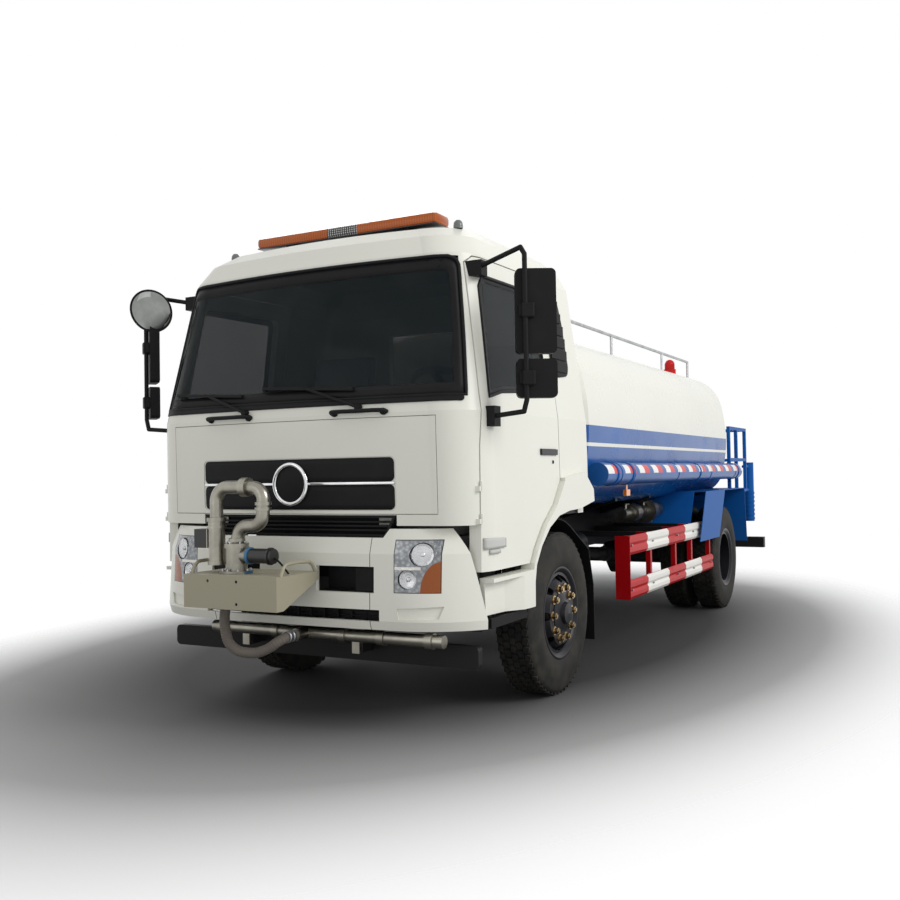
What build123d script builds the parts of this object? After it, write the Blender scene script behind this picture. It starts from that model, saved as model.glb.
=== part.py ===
from build123d import *
from math import cos, radians, sin, sqrt
import os

# A water tanker lorry: forward-control cab, two axles, oval tank, water cannon on the front bumper.
# Millimetres. X points forward, Y to the vehicle's left, Z up, and the origin lies on the ground
# below the middle of the vehicle.

# Driving dimensions: axles and wheels
FRONT_AXLE_X = 2450
WHEELBASE = 4500
TYRE_RADIUS = 527
TYRE_WIDTH = 275
TREAD_WIDTH = 214
SHOULDER_DROP = 26
BULGE_RADIUS = 405
RIM_RADIUS = 254
RIM_WIDTH = 206
RIM_WALL = 9
DISC_THICKNESS = 13
DISC_FLAT_RADIUS = 206
WHEEL_BORE_RADIUS = 140.5
STUD_CIRCLE = 335
HAND_HOLES = 8
HAND_HOLE_RADIUS = 27
FRONT_WHEEL_Y = 1011
FRONT_DISC_OUTSET = 112
REAR_OUTER_WHEEL_Y = 1073
TWIN_SPACING = 320
HUB_CAP_RADIUS = 74
DRUM_RADIUS = 205

# Driving dimensions: steering
KINGPIN_Y = 905
KINGPIN_RADIUS = 24
SPINDLE_RADIUS = 38
BEARING_CLEARANCE = 0.06
STEER_ARM = 150
TIE_ROD_RADIUS = 17

# Driving dimensions: chassis
FRAME_TOP = 1020
FRAME_DEPTH = 240
FRAME_HALF_WIDTH = 425
FRAME_FLANGE = 75
FRAME_WALL = 8
FRAME_FRONT = 1210
FRAME_REAR = WHEELBASE + 1920
SUBFRAME_HEIGHT = 130
SUBFRAME_WIDTH = 80

# Driving dimensions: cab
CAB_WALL = 60
CAB_REAR = 500
CAB_FLOOR_Z = 1165
CAB_FLOOR_THICKNESS = 45
TUNNEL_HALF_WIDTH = 400
TUNNEL_TOP_Z = 1410
DOOR_CLEARANCE = 8
GLASS_THICKNESS = 8
GLASS_INSET = 4
SEAT_CLEARANCE = 0.3
GRILLE_BACK = 1300
GRILLE_HALF_WIDTH = 700

# Driving dimensions: tank
TANK_FRONT = 680
TANK_REAR = WHEELBASE + 630
TANK_HALF_WIDTH = 1090
TANK_TOP_Z = 2580
TUBE_RADIUS = 84
TUBE_Y = 1150
TUBE_Z = 1430

# Driving dimensions: front water cannon
CANNON_AHEAD = 1680
CANNON_Y = -169
CANNON_FLANGE_Z = 1075
CANNON_TOP_Z = 1394
CANNON_PIPE_RADIUS = 38
BARREL_RADIUS = 48
TRAY_FRONT = 1818
TRAY_REAR = 1424
TRAY_LEFT_Y = 220
TRAY_RIGHT_Y = -441
TRAY_TOP_Z = 905
TRAY_BOTTOM_Z = 717
TRAY_WALL = 6
# columns: y, z of each hole in the tray's front
TRAY_HOLES = ((-265, 872), (-60, 872), (-60, 748))

# Driving dimensions: rear platform
PLATFORM_REAR = TANK_REAR + 1000
PLATFORM_Z = 1215
PLATFORM_HALF_WIDTH = 1100
RAIL_TOP_Z = 1935

frame_bottom = FRAME_TOP - FRAME_DEPTH
rear_axle_x = FRONT_AXLE_X - WHEELBASE
subframe_top = FRAME_TOP + SUBFRAME_HEIGHT
os.makedirs("parts", exist_ok=True)


def ahead(distance):
    """x of a place this far in front of the front axle, or behind it where negative."""
    return FRONT_AXLE_X + distance


def block(x, y, z, mode=Mode.ADD):
    """A box between the (low, high) pairs x, y and z."""
    with Locations((sum(x) / 2, sum(y) / 2, sum(z) / 2)):
        Box(x[1] - x[0], y[1] - y[0], z[1] - z[0], mode=mode)


def rod(start, end, radius, mode=Mode.ADD):
    """A round bar between two points."""
    line = Edge.make_line(start, end)
    with Locations(Plane(origin=start, z_dir=line % 0)):
        Cylinder(radius, line.length, align=(Align.CENTER, Align.CENTER, Align.MIN), mode=mode)


def write(part, name):
    """Labels a finished piece and writes it under its node's name."""
    part.label = name
    export_step(part, f"parts/{name}.step")


def write_pair(part, name):
    """Writes a left-hand piece and its mirror image on the right."""
    with BuildPart() as right:
        mirror(part, about=Plane.XZ)
    write(part, f"{name}_left")
    write(right.part, f"{name}_right")


# Chassis frame: two channels joined by cross members, with the spring hangers
# columns: distance ahead of the front axle
CROSS_MEMBERS = (1150, -1150, -2050, -2900, -3700, -5250, -6380)
CROSS_MEMBER_WIDTH = 60
# columns: distance ahead of the front axle
CAB_MOUNTS = (980, -430)
CROSS_MEMBER_HEIGHT = 110
FRONT_SPRING_HALF = 720
FRONT_SPRING_Y = 385
FRONT_SPRING_EYE_Z = 655
REAR_SPRING_HALF = 760
REAR_SPRING_Y = 515
REAR_SPRING_EYE_Z = 730
SPRING_WIDTH = 80
EYE_RADIUS = 30
EYE_PIN_RADIUS = 15
HANGER_WALL = 14
# columns: axle's place, half length, spring's y, eye's height
SPRINGS = (
    (0, FRONT_SPRING_HALF, FRONT_SPRING_Y, FRONT_SPRING_EYE_Z),
    (-WHEELBASE, REAR_SPRING_HALF, REAR_SPRING_Y, REAR_SPRING_EYE_Z),
)
with BuildPart() as chassis_frame:
    with BuildSketch(Plane.YZ.offset(ahead(-FRAME_REAR))):
        with Locations((FRAME_HALF_WIDTH - FRAME_FLANGE / 2, FRAME_TOP - FRAME_DEPTH / 2)):
            Rectangle(FRAME_FLANGE, FRAME_DEPTH)
        with Locations((FRAME_HALF_WIDTH - (FRAME_FLANGE + FRAME_WALL) / 2, FRAME_TOP - FRAME_DEPTH / 2)):
            Rectangle(FRAME_FLANGE - FRAME_WALL, FRAME_DEPTH - 2 * FRAME_WALL, mode=Mode.SUBTRACT)
        mirror(about=Plane.YZ)
    extrude(amount=FRAME_REAR + FRAME_FRONT)
    member_half = FRAME_HALF_WIDTH - FRAME_WALL / 2
    for place in CROSS_MEMBERS:
        x = ahead(place)
        z = FRAME_TOP - FRAME_DEPTH / 2
        block((x - CROSS_MEMBER_WIDTH / 2, x + CROSS_MEMBER_WIDTH / 2), (-member_half, member_half),
              (z - CROSS_MEMBER_HEIGHT / 2, z + CROSS_MEMBER_HEIGHT / 2))
    for place, half, y, eye_z in SPRINGS:
        for x in (ahead(place - half), ahead(place + half)):
            for side in (-1, 1):
                for cheek in (-1, 1):
                    y_cheek = side * y + cheek * (SPRING_WIDTH + HANGER_WALL + 2) / 2
                    block((x - 40, x + 40), (y_cheek - HANGER_WALL / 2, y_cheek + HANGER_WALL / 2),
                          (eye_z - 35, frame_bottom + 30))
                low_y, high_y = sorted((side * (FRAME_HALF_WIDTH - 30), side * (y + SPRING_WIDTH / 2 + HANGER_WALL)))
                block((x - 40, x + 40), (low_y, high_y), (frame_bottom - 12, frame_bottom + 30))
                reach = SPRING_WIDTH / 2 + HANGER_WALL
                rod((x, side * y - reach, eye_z), (x, side * y + reach, eye_z), EYE_PIN_RADIUS)
    for place in CAB_MOUNTS:
        for side in (-1, 1):
            low_y, high_y = sorted((side * (FRAME_HALF_WIDTH - 60), side * (FRAME_HALF_WIDTH + 60)))
            block((ahead(place - 45), ahead(place + 45)), (low_y, high_y), (FRAME_TOP - 20, CAB_FLOOR_Z - SEAT_CLEARANCE))
write(chassis_frame.part, "chassis_frame")

# Leaf springs: leaves bent to arcs, shorter towards the bottom, with an eye at each end
LEAF = 16
FRONT_AXLE_BEAM_TOP = 470
REAR_AXLE_TUBE_RADIUS = 78
SPRING_PAD = 14
# columns: share of the spring's length
LEAF_SHARES = (1.0, 0.86, 0.66, 0.46, 0.28)


def leaf_pack(axle_ahead, half, y, eye_z, seat_z):
    """A pair of leaf springs, whose lowest leaf rests on the pad at seat_z."""
    middle_z = seat_z + LEAF * len(LEAF_SHARES)
    rise = eye_z - EYE_RADIUS + LEAF - middle_z
    bend = (half * half + rise * rise) / (2 * rise)

    def depth(x, radius):
        return bend + middle_z - sqrt(radius * radius - x * x)

    with BuildPart() as springs:
        for side in (-1, 1):
            with BuildSketch(Plane.XZ.offset(-side * y + SPRING_WIDTH / 2)):
                for number, share in enumerate(LEAF_SHARES):
                    reach = half * share
                    upper = bend + number * LEAF
                    lower = upper + LEAF
                    x = ahead(axle_ahead)
                    with BuildLine():
                        top = ThreePointArc(
                            (x - reach, depth(reach, upper)), (x, depth(0, upper)), (x + reach, depth(reach, upper)))
                        bottom = ThreePointArc(
                            (x - reach, depth(reach, lower)), (x, depth(0, lower)), (x + reach, depth(reach, lower)))
                        Line(top @ 0, bottom @ 0)
                        Line(top @ 1, bottom @ 1)
                    make_face()
                with Locations((ahead(axle_ahead - half), eye_z), (ahead(axle_ahead + half), eye_z)):
                    Circle(EYE_RADIUS)
                    Circle(EYE_PIN_RADIUS + BEARING_CLEARANCE, mode=Mode.SUBTRACT)
            extrude(amount=-SPRING_WIDTH)
    return springs.part


front_seat_z = FRONT_AXLE_BEAM_TOP + SPRING_PAD
rear_seat_z = TYRE_RADIUS + REAR_AXLE_TUBE_RADIUS + SPRING_PAD
with BuildPart() as leaf_springs:
    add(leaf_pack(0, FRONT_SPRING_HALF, FRONT_SPRING_Y, FRONT_SPRING_EYE_Z, front_seat_z))
    add(leaf_pack(-WHEELBASE, REAR_SPRING_HALF, REAR_SPRING_Y, REAR_SPRING_EYE_Z, rear_seat_z))
write(leaf_springs.part, "leaf_springs")

# Front axle: a dropped beam with an upright eye for the kingpin at each end
BEAM_HALF_DEPTH = 48
EYE_HEIGHT = 92
KINGPIN_EYE_RADIUS = 46
with BuildPart() as axle_front:
    with BuildSketch(Plane.YZ.offset(ahead(-BEAM_HALF_DEPTH))):
        with BuildLine():
            Polyline(
                (0, 372), (560, 372), (720, TYRE_RADIUS - 44), (KINGPIN_Y, TYRE_RADIUS - 44),
                (KINGPIN_Y, TYRE_RADIUS + 44), (700, TYRE_RADIUS + 44), (540, FRONT_AXLE_BEAM_TOP),
                (0, FRONT_AXLE_BEAM_TOP))
            mirror(about=Plane.YZ)
        make_face()
    extrude(amount=2 * BEAM_HALF_DEPTH)
    for side in (-1, 1):
        for face in (-1, 1):
            low_y, high_y = sorted((side * 40, side * 540))
            low_x, high_x = sorted((ahead(face * 18), ahead(face * (BEAM_HALF_DEPTH + 1))))
            block((low_x, high_x), (low_y, high_y), (392, FRONT_AXLE_BEAM_TOP - 20), mode=Mode.SUBTRACT)
        with Locations((ahead(0), side * KINGPIN_Y, TYRE_RADIUS)):
            Cylinder(KINGPIN_EYE_RADIUS, EYE_HEIGHT)
            Cylinder(KINGPIN_RADIUS + BEARING_CLEARANCE, EYE_HEIGHT + 2, mode=Mode.SUBTRACT)
        with Locations((ahead(0), side * FRONT_SPRING_Y, FRONT_AXLE_BEAM_TOP + SPRING_PAD / 2)):
            Box(150, SPRING_WIDTH, SPRING_PAD)
write(axle_front.part, "axle_front")

# Steering knuckles: a fork on the kingpin, the spindle and a steering arm that points back
FORK_THICKNESS = 38
FORK_GAP = 1.5
SPINDLE_START_Y = KINGPIN_Y + 62
SPINDLE_END_Y = FRONT_WHEEL_Y + FRONT_DISC_OUTSET - 20
ARM_Z = 438
ARM_PIN_RADIUS = 11
ARM_EYE_RADIUS = 27
with BuildPart() as knuckle:
    for level in (-1, 1):
        z = TYRE_RADIUS + level * (EYE_HEIGHT / 2 + FORK_GAP + FORK_THICKNESS / 2)
        with Locations((ahead(0), KINGPIN_Y, z)):
            Cylinder(KINGPIN_EYE_RADIUS, FORK_THICKNESS)
        block((ahead(-38), ahead(38)), (KINGPIN_Y, SPINDLE_START_Y), (z - FORK_THICKNESS / 2, z + FORK_THICKNESS / 2))
    fork_top = TYRE_RADIUS + EYE_HEIGHT / 2 + FORK_GAP + FORK_THICKNESS
    fork_bottom = 2 * TYRE_RADIUS - fork_top
    block((ahead(-38), ahead(38)), (KINGPIN_Y + KINGPIN_EYE_RADIUS + 6, SPINDLE_START_Y + 6), (fork_bottom, fork_top))
    rod((ahead(0), KINGPIN_Y, fork_bottom), (ahead(0), KINGPIN_Y, fork_top), KINGPIN_RADIUS)
    rod((ahead(0), SPINDLE_START_Y, TYRE_RADIUS), (ahead(0), SPINDLE_END_Y, TYRE_RADIUS), SPINDLE_RADIUS)
    with BuildSketch(Plane.XY.offset(ARM_Z - 16)):
        with BuildLine():
            Polyline((ahead(-STEER_ARM), KINGPIN_Y - ARM_EYE_RADIUS + 4), (ahead(25), KINGPIN_Y - 38),
                     (ahead(25), KINGPIN_Y + 38), (ahead(-STEER_ARM), KINGPIN_Y + ARM_EYE_RADIUS - 4), close=True)
        make_face()
        with Locations((ahead(-STEER_ARM), KINGPIN_Y)):
            Circle(ARM_EYE_RADIUS)
    extrude(amount=fork_bottom - ARM_Z + 16)
    rod((ahead(-STEER_ARM), KINGPIN_Y, ARM_Z - 56), (ahead(-STEER_ARM), KINGPIN_Y, ARM_Z), ARM_PIN_RADIUS)
write_pair(knuckle.part, "knuckle")

# Tie rod between the two steering arms, whose pins stand straight behind the kingpins so that the
# linkage stays a parallelogram: an eye on the left pin, and clearance round the right pin
TIE_Z = ARM_Z - 38
OPEN_PIN_CLEARANCE = 3
with BuildPart() as tie_rod:
    for side in (-1, 1):
        with Locations((ahead(-STEER_ARM), side * KINGPIN_Y, TIE_Z)):
            Cylinder(ARM_EYE_RADIUS - 1, 30)
    rod((ahead(-STEER_ARM), -KINGPIN_Y + 10, TIE_Z), (ahead(-STEER_ARM), KINGPIN_Y - 10, TIE_Z), TIE_ROD_RADIUS)
    for side, gap in ((1, BEARING_CLEARANCE), (-1, OPEN_PIN_CLEARANCE)):
        with Locations((ahead(-STEER_ARM), side * KINGPIN_Y, TIE_Z)):
            Cylinder(ARM_PIN_RADIUS + gap, 40, mode=Mode.SUBTRACT)
write(tie_rod.part, "tie_rod")

# Rear axle: a banjo housing with its nose to the front, spring pads and a spindle each side
REAR_SPINDLE_RADIUS = 52
REAR_SPINDLE_START = 640
REAR_SPINDLE_END = REAR_OUTER_WHEEL_Y - 60
BANJO_RADIUS = 195
NOSE_LENGTH = 400
NOSE_Z = TYRE_RADIUS + 40
with BuildPart() as axle_rear:
    rod((rear_axle_x, -REAR_SPINDLE_START, TYRE_RADIUS), (rear_axle_x, REAR_SPINDLE_START, TYRE_RADIUS),
        REAR_AXLE_TUBE_RADIUS)
    rod((rear_axle_x, -REAR_SPINDLE_END, TYRE_RADIUS), (rear_axle_x, REAR_SPINDLE_END, TYRE_RADIUS),
        REAR_SPINDLE_RADIUS)
    with BuildSketch(Plane.XY.offset(TYRE_RADIUS)):
        with BuildLine():
            Polyline((rear_axle_x, 110), (rear_axle_x - 90, 110), (rear_axle_x - BANJO_RADIUS, 50),
                     (rear_axle_x - BANJO_RADIUS, 0), (rear_axle_x, 0), close=True)
        make_face()
    revolve(axis=Axis((rear_axle_x, 0, TYRE_RADIUS), (0, 1, 0)))
    mirror(about=Plane.XZ)
    with BuildSketch(Plane.XY.offset(NOSE_Z)):
        with BuildLine():
            Polyline((rear_axle_x + 100, 0), (rear_axle_x + 100, 140), (rear_axle_x + 250, 95),
                     (rear_axle_x + NOSE_LENGTH, 60), (rear_axle_x + NOSE_LENGTH, 0), close=True)
        make_face()
    revolve(axis=Axis((rear_axle_x, 0, NOSE_Z), (1, 0, 0)))
    for side in (-1, 1):
        low_z = TYRE_RADIUS
        with Locations((rear_axle_x, side * REAR_SPRING_Y, (low_z + rear_seat_z) / 2)):
            Box(160, SPRING_WIDTH, rear_seat_z - low_z)
write(axle_rear.part, "axle_rear")

# Engine with its gearbox: a plain block between the frame channels, on four feet
ENGINE_REAR = -420
ENGINE_FRONT = 760
ENGINE_HALF_WIDTH = 330
ENGINE_BOTTOM = 640
ENGINE_TOP = TUNNEL_TOP_Z - CAB_FLOOR_THICKNESS - 45
GEARBOX_REAR = -1060
SHAFT_FRONT_Z = 760
with BuildPart() as engine_block:
    block((ahead(ENGINE_REAR), ahead(ENGINE_FRONT)), (-ENGINE_HALF_WIDTH, ENGINE_HALF_WIDTH),
          (ENGINE_BOTTOM, ENGINE_TOP))
    block((ahead(GEARBOX_REAR), ahead(ENGINE_REAR)), (-190, 190), (SHAFT_FRONT_Z - 130, SHAFT_FRONT_Z + 200))
    for place in (ENGINE_REAR + 120, ENGINE_FRONT - 120):
        foot_half = FRAME_HALF_WIDTH - FRAME_WALL - SEAT_CLEARANCE
        block((ahead(place - 50), ahead(place + 50)), (-foot_half, foot_half), (FRAME_TOP - 150, FRAME_TOP - 90))
write(engine_block.part, "engine_block")

# Propeller shaft with a flange at each end
SHAFT_RADIUS = 52
SHAFT_FLANGE_RADIUS = 82
SHAFT_FLANGE = 22
with BuildPart() as propeller_shaft:
    shaft_start = Vector(ahead(GEARBOX_REAR) - SEAT_CLEARANCE, 0, SHAFT_FRONT_Z)
    shaft_end = Vector(rear_axle_x + NOSE_LENGTH + SEAT_CLEARANCE, 0, NOSE_Z)
    for end, step in ((shaft_start, -SHAFT_FLANGE), (shaft_end, SHAFT_FLANGE)):
        rod(tuple(end), tuple(end + Vector(step, 0, 0)), SHAFT_FLANGE_RADIUS)
    rod(tuple(shaft_start + Vector(-12, 0, 0)), tuple(shaft_end + Vector(12, 0, 0)), SHAFT_RADIUS)
write(propeller_shaft.part, "propeller_shaft")

# Wheels: each rim is one revolved section, each tyre another


def tyre(middle_y):
    """A tyre on the wheel centre line at middle_y, for use at the front axle's height."""
    bead = RIM_WIDTH / 2 - 16
    with BuildSketch(Plane.XY):
        with BuildLine():
            Polyline(
                (RIM_RADIUS + SEAT_CLEARANCE, middle_y - bead), (BULGE_RADIUS, middle_y - TYRE_WIDTH / 2),
                (TYRE_RADIUS - SHOULDER_DROP, middle_y - TREAD_WIDTH / 2 - 14),
                (TYRE_RADIUS, middle_y - TREAD_WIDTH / 2), (TYRE_RADIUS, middle_y + TREAD_WIDTH / 2),
                (TYRE_RADIUS - SHOULDER_DROP, middle_y + TREAD_WIDTH / 2 + 14),
                (BULGE_RADIUS, middle_y + TYRE_WIDTH / 2), (RIM_RADIUS + SEAT_CLEARANCE, middle_y + bead), close=True)
        section = make_face()
    revolve(section, axis=Axis.Y)


def rim(middle_y, disc_y, outward):
    """A rim on the centre line at middle_y, its disc bulging outward (1) or inward (-1) to disc_y."""
    inner = RIM_RADIUS - RIM_WALL
    edge = RIM_WIDTH / 2
    flange = 18
    start_y = disc_y - outward * 55
    with BuildSketch(Plane.XY):
        with BuildLine():
            Polyline(
                (inner, middle_y - edge), (RIM_RADIUS + flange, middle_y - edge),
                (RIM_RADIUS + flange, middle_y - edge + 8), (RIM_RADIUS, middle_y - edge + 12),
                (RIM_RADIUS, middle_y + edge - 12), (RIM_RADIUS + flange, middle_y + edge - 8),
                (RIM_RADIUS + flange, middle_y + edge), (inner, middle_y + edge), close=True)
        barrel = make_face()
        with BuildLine():
            Polyline(
                (inner + 2, start_y), (inner + 2, start_y - outward * DISC_THICKNESS * 1.4),
                (DISC_FLAT_RADIUS, disc_y - outward * DISC_THICKNESS), (WHEEL_BORE_RADIUS, disc_y - outward * DISC_THICKNESS),
                (WHEEL_BORE_RADIUS, disc_y), (DISC_FLAT_RADIUS, disc_y), close=True)
        disc = make_face()
    revolve(barrel, axis=Axis.Y)
    revolve(disc, axis=Axis.Y)
    hole_radius = (DISC_FLAT_RADIUS + inner) / 2 - 2
    with Locations(Plane((0, disc_y, 0), x_dir=(1, 0, 0), z_dir=(0, 1, 0))):
        with PolarLocations(hole_radius, HAND_HOLES):
            Cylinder(HAND_HOLE_RADIUS, 180, mode=Mode.SUBTRACT)


FRONT_DISC_Y = FRONT_WHEEL_Y + FRONT_DISC_OUTSET + DISC_THICKNESS
with BuildPart() as tyre_front:
    tyre(FRONT_WHEEL_Y)
tyre_front_placed = tyre_front.part.moved(Location((FRONT_AXLE_X, 0, TYRE_RADIUS)))
write_pair(tyre_front_placed, "tyre_front")

with BuildPart() as rim_front:
    rim(FRONT_WHEEL_Y, FRONT_DISC_Y, 1)
    with BuildSketch(Plane.XY):
        with BuildLine():
            Polyline(
                (SPINDLE_RADIUS + BEARING_CLEARANCE, SPINDLE_START_Y + 18), (DRUM_RADIUS, SPINDLE_START_Y + 18),
                (DRUM_RADIUS, FRONT_DISC_Y - 75), (WHEEL_BORE_RADIUS + 45, FRONT_DISC_Y - DISC_THICKNESS),
                (WHEEL_BORE_RADIUS, FRONT_DISC_Y - DISC_THICKNESS), (WHEEL_BORE_RADIUS, FRONT_DISC_Y + 4),
                (HUB_CAP_RADIUS, FRONT_DISC_Y + 22), (HUB_CAP_RADIUS - 8, FRONT_DISC_Y + 46), (0, FRONT_DISC_Y + 52),
                (0, SPINDLE_END_Y + 2), (SPINDLE_RADIUS + BEARING_CLEARANCE, SPINDLE_END_Y + 2), close=True)
        make_face()
    revolve(axis=Axis.Y)
rim_front_placed = rim_front.part.moved(Location((FRONT_AXLE_X, 0, TYRE_RADIUS)))
write_pair(rim_front_placed, "rim_front")

REAR_INNER_WHEEL_Y = REAR_OUTER_WHEEL_Y - TWIN_SPACING
TWIN_MIDDLE_Y = (REAR_OUTER_WHEEL_Y + REAR_INNER_WHEEL_Y) / 2
with BuildPart() as tyres_rear:
    tyre(REAR_OUTER_WHEEL_Y)
    tyre(REAR_INNER_WHEEL_Y)
write_pair(tyres_rear.part.moved(Location((rear_axle_x, 0, TYRE_RADIUS))), "tyres_rear")

with BuildPart() as rims_rear:
    rim(REAR_OUTER_WHEEL_Y, TWIN_MIDDLE_Y, -1)
    rim(REAR_INNER_WHEEL_Y, TWIN_MIDDLE_Y, 1)
    with BuildSketch(Plane.XY):
        with BuildLine():
            Polyline(
                (REAR_SPINDLE_RADIUS + BEARING_CLEARANCE, REAR_SPINDLE_START + 12), (DRUM_RADIUS, REAR_SPINDLE_START + 12),
                (DRUM_RADIUS, TWIN_MIDDLE_Y - 75), (WHEEL_BORE_RADIUS + 45, TWIN_MIDDLE_Y - DISC_THICKNESS),
                (WHEEL_BORE_RADIUS, TWIN_MIDDLE_Y - DISC_THICKNESS), (WHEEL_BORE_RADIUS, TWIN_MIDDLE_Y + 20),
                (115, TWIN_MIDDLE_Y + 60), (105, REAR_SPINDLE_END + 20), (0, REAR_SPINDLE_END + 24),
                (0, REAR_SPINDLE_END + 2), (REAR_SPINDLE_RADIUS + BEARING_CLEARANCE, REAR_SPINDLE_END + 2), close=True)
        make_face()
    revolve(axis=Axis.Y)
write_pair(rims_rear.part.moved(Location((rear_axle_x, 0, TYRE_RADIUS))), "rims_rear")

# Cab body: sections at a few heights, joined by ruled faces
# columns: height, front centre ahead of the axle, half width, rear wall behind the axle
CAB_STATIONS = (
    (CAB_FLOOR_Z, 1380, 1176, CAB_REAR),
    (1800, 1395, 1165, CAB_REAR),
    (2720, 1215, 1045, CAB_REAR - 20),
    (2840, 1140, 985, CAB_REAR - 50),
    (2920, 1020, 900, CAB_REAR - 110),
    (2960, 880, 770, CAB_REAR - 230),
)
FRONT_SAGITTA = 55
CORNER_DEPTH = 320
CORNER_WIDTH = 260
REAR_CORNER = 70


def cab_section(level, front, half_width, rear, inset):
    """One level section of the cab at a height, shrunk by inset."""
    x_front = ahead(front - inset)
    x_rear = ahead(-rear + inset)
    side = half_width - inset
    corner_y = half_width - CORNER_WIDTH
    x_corner = x_front - FRONT_SAGITTA
    x_side = ahead(front - CORNER_DEPTH)
    # the corner's middle point lies near a quarter ellipse
    bend_x = x_side + (x_corner - x_side) * 0.72
    bend_y = corner_y + (side - corner_y) * 0.72
    with BuildSketch(Plane.XY.offset(level)) as section:
        with BuildLine():
            ThreePointArc((x_corner, -corner_y), (x_front, 0), (x_corner, corner_y))
            ThreePointArc((x_corner, corner_y), (bend_x, bend_y), (x_side, side))
            Line((x_side, side), (x_rear + REAR_CORNER, side))
            RadiusArc((x_rear + REAR_CORNER, side), (x_rear, side - REAR_CORNER), -REAR_CORNER)
            Line((x_rear, side - REAR_CORNER), (x_rear, -side + REAR_CORNER))
            RadiusArc((x_rear, -side + REAR_CORNER), (x_rear + REAR_CORNER, -side), -REAR_CORNER)
            Line((x_rear + REAR_CORNER, -side), (x_side, -side))
            ThreePointArc((x_side, -side), (bend_x, -bend_y), (x_corner, -corner_y))
        make_face()
    return section.sketch


def cab_solid(inset, roof_inset=0.0, floor_raise=0.0):
    """The cab's outer form, or the room inside it where inset is a wall's thickness."""
    sections = []
    for number, (height, front, half_width, rear) in enumerate(CAB_STATIONS):
        level = height - (roof_inset if number > 1 else 0.0) + (floor_raise if number == 0 else 0.0)
        sections.append(cab_section(level, front, half_width, rear, inset))
    with BuildPart() as body:
        loft(sections, ruled=True)
    return body.part


cab_outer = cab_solid(0)
cab_room = cab_solid(CAB_WALL, roof_inset=CAB_WALL, floor_raise=CAB_FLOOR_THICKNESS)

# Outlines on the side of the cab, as (distance ahead of the axle, height)
DOOR_OUTLINE = (
    (1194, 905), (1186, 1600), (1160, 1900), (1066, 2660), (1010, 2700), (80, 2715), (80, 1400),
    (215, 1250), (400, 1128), (540, 990), (600, 905),
)
WINDOW_OUTLINE = (
    (1084, 1875), (1010, 2530), (960, 2600), (230, 2610), (200, 2580), (200, 1990), (240, 1960), (900, 1915),
)
DOOR_BOTTOM_Z = 905
# the wheel's opening in the cab's side, in front of and behind the axle
ARCH_INNER_Y = 1110
DOOR_CUT_Y = 900
FLOOR_HALF_WIDTH = 1092
FLOOR_HINGE_HALF_WIDTH = 1060
ARCH_OUTLINE = (
    (590, 600), (588, 790), (560, 895), (475, 1002), (340, 1107), (180, 1174), (0, 1199), (-200, 1205), (-620, 1245),
    (-620, 600),
)


def side_face(points, grow=0.0):
    """A face drawn on the side of the cab from a list of points, grown by a clearance."""
    with BuildSketch(Plane.XZ) as drawn:
        with BuildLine():
            Polyline(*[(ahead(x), z) for x, z in points], close=True)
        make_face()
        if grow:
            offset(amount=grow, kind=Kind.INTERSECTION)
    return drawn.sketch


HIGH_SIDE = 1400
# columns: height at which the door's knuckle sits on the cab's
DOOR_HINGES = (1200, 1380)
HINGE_AHEAD = 1196
HINGE_Y = 1156
HINGE_RADIUS = 8
HINGE_PIN_RADIUS = 4
HINGE_HEIGHT = 28
HANDLE_Y = 1182
HANDLE_Z = 1578
# the wall that the doors are cut from reaches below the cab's floor
SILL_STATION_Z = DOOR_BOTTOM_Z - 20
with BuildPart() as side_wall:
    add(cab_outer)
    extrude(cab_section(SILL_STATION_Z, CAB_STATIONS[0][1], CAB_STATIONS[0][2], CAB_REAR, 0),
            amount=CAB_STATIONS[0][0] - SILL_STATION_Z)
    add(cab_room, mode=Mode.SUBTRACT)
    extrude(cab_section(SILL_STATION_Z, CAB_STATIONS[0][1], CAB_STATIONS[0][2], CAB_REAR, CAB_WALL),
            amount=CAB_FLOOR_Z + CAB_FLOOR_THICKNESS - SILL_STATION_Z, mode=Mode.SUBTRACT)
side_wall_part = side_wall.part

with BuildPart() as door:
    add(side_wall_part)
    extrude(side_face(DOOR_OUTLINE), amount=-HIGH_SIDE, mode=Mode.INTERSECT)
    extrude(side_face(WINDOW_OUTLINE), amount=-HIGH_SIDE, mode=Mode.SUBTRACT)
    for z in DOOR_HINGES:
        block((ahead(HINGE_AHEAD - 22), ahead(HINGE_AHEAD - 1)), (HINGE_Y - 30, HINGE_Y), (z, z + HINGE_HEIGHT))
        rod((ahead(HINGE_AHEAD), HINGE_Y, z), (ahead(HINGE_AHEAD), HINGE_Y, z + HINGE_HEIGHT), HINGE_RADIUS)
        rod((ahead(HINGE_AHEAD), HINGE_Y, z - 1), (ahead(HINGE_AHEAD), HINGE_Y, z + HINGE_HEIGHT + 1),
            HINGE_PIN_RADIUS + BEARING_CLEARANCE, mode=Mode.SUBTRACT)
    block((ahead(130), ahead(390)), (1150, HANDLE_Y), (HANDLE_Z - 18, HANDLE_Z + 18))
write_pair(door.part, "door")

with BuildPart() as glass_layer:
    add(cab_solid(GLASS_INSET))
    add(cab_solid(GLASS_INSET + GLASS_THICKNESS), mode=Mode.SUBTRACT)
glass_skin = glass_layer.part

with BuildPart() as door_glass:
    add(glass_skin)
    extrude(side_face(WINDOW_OUTLINE, -SEAT_CLEARANCE), amount=-HIGH_SIDE, mode=Mode.INTERSECT)
write_pair(door_glass.part, "door_glass")

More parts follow.
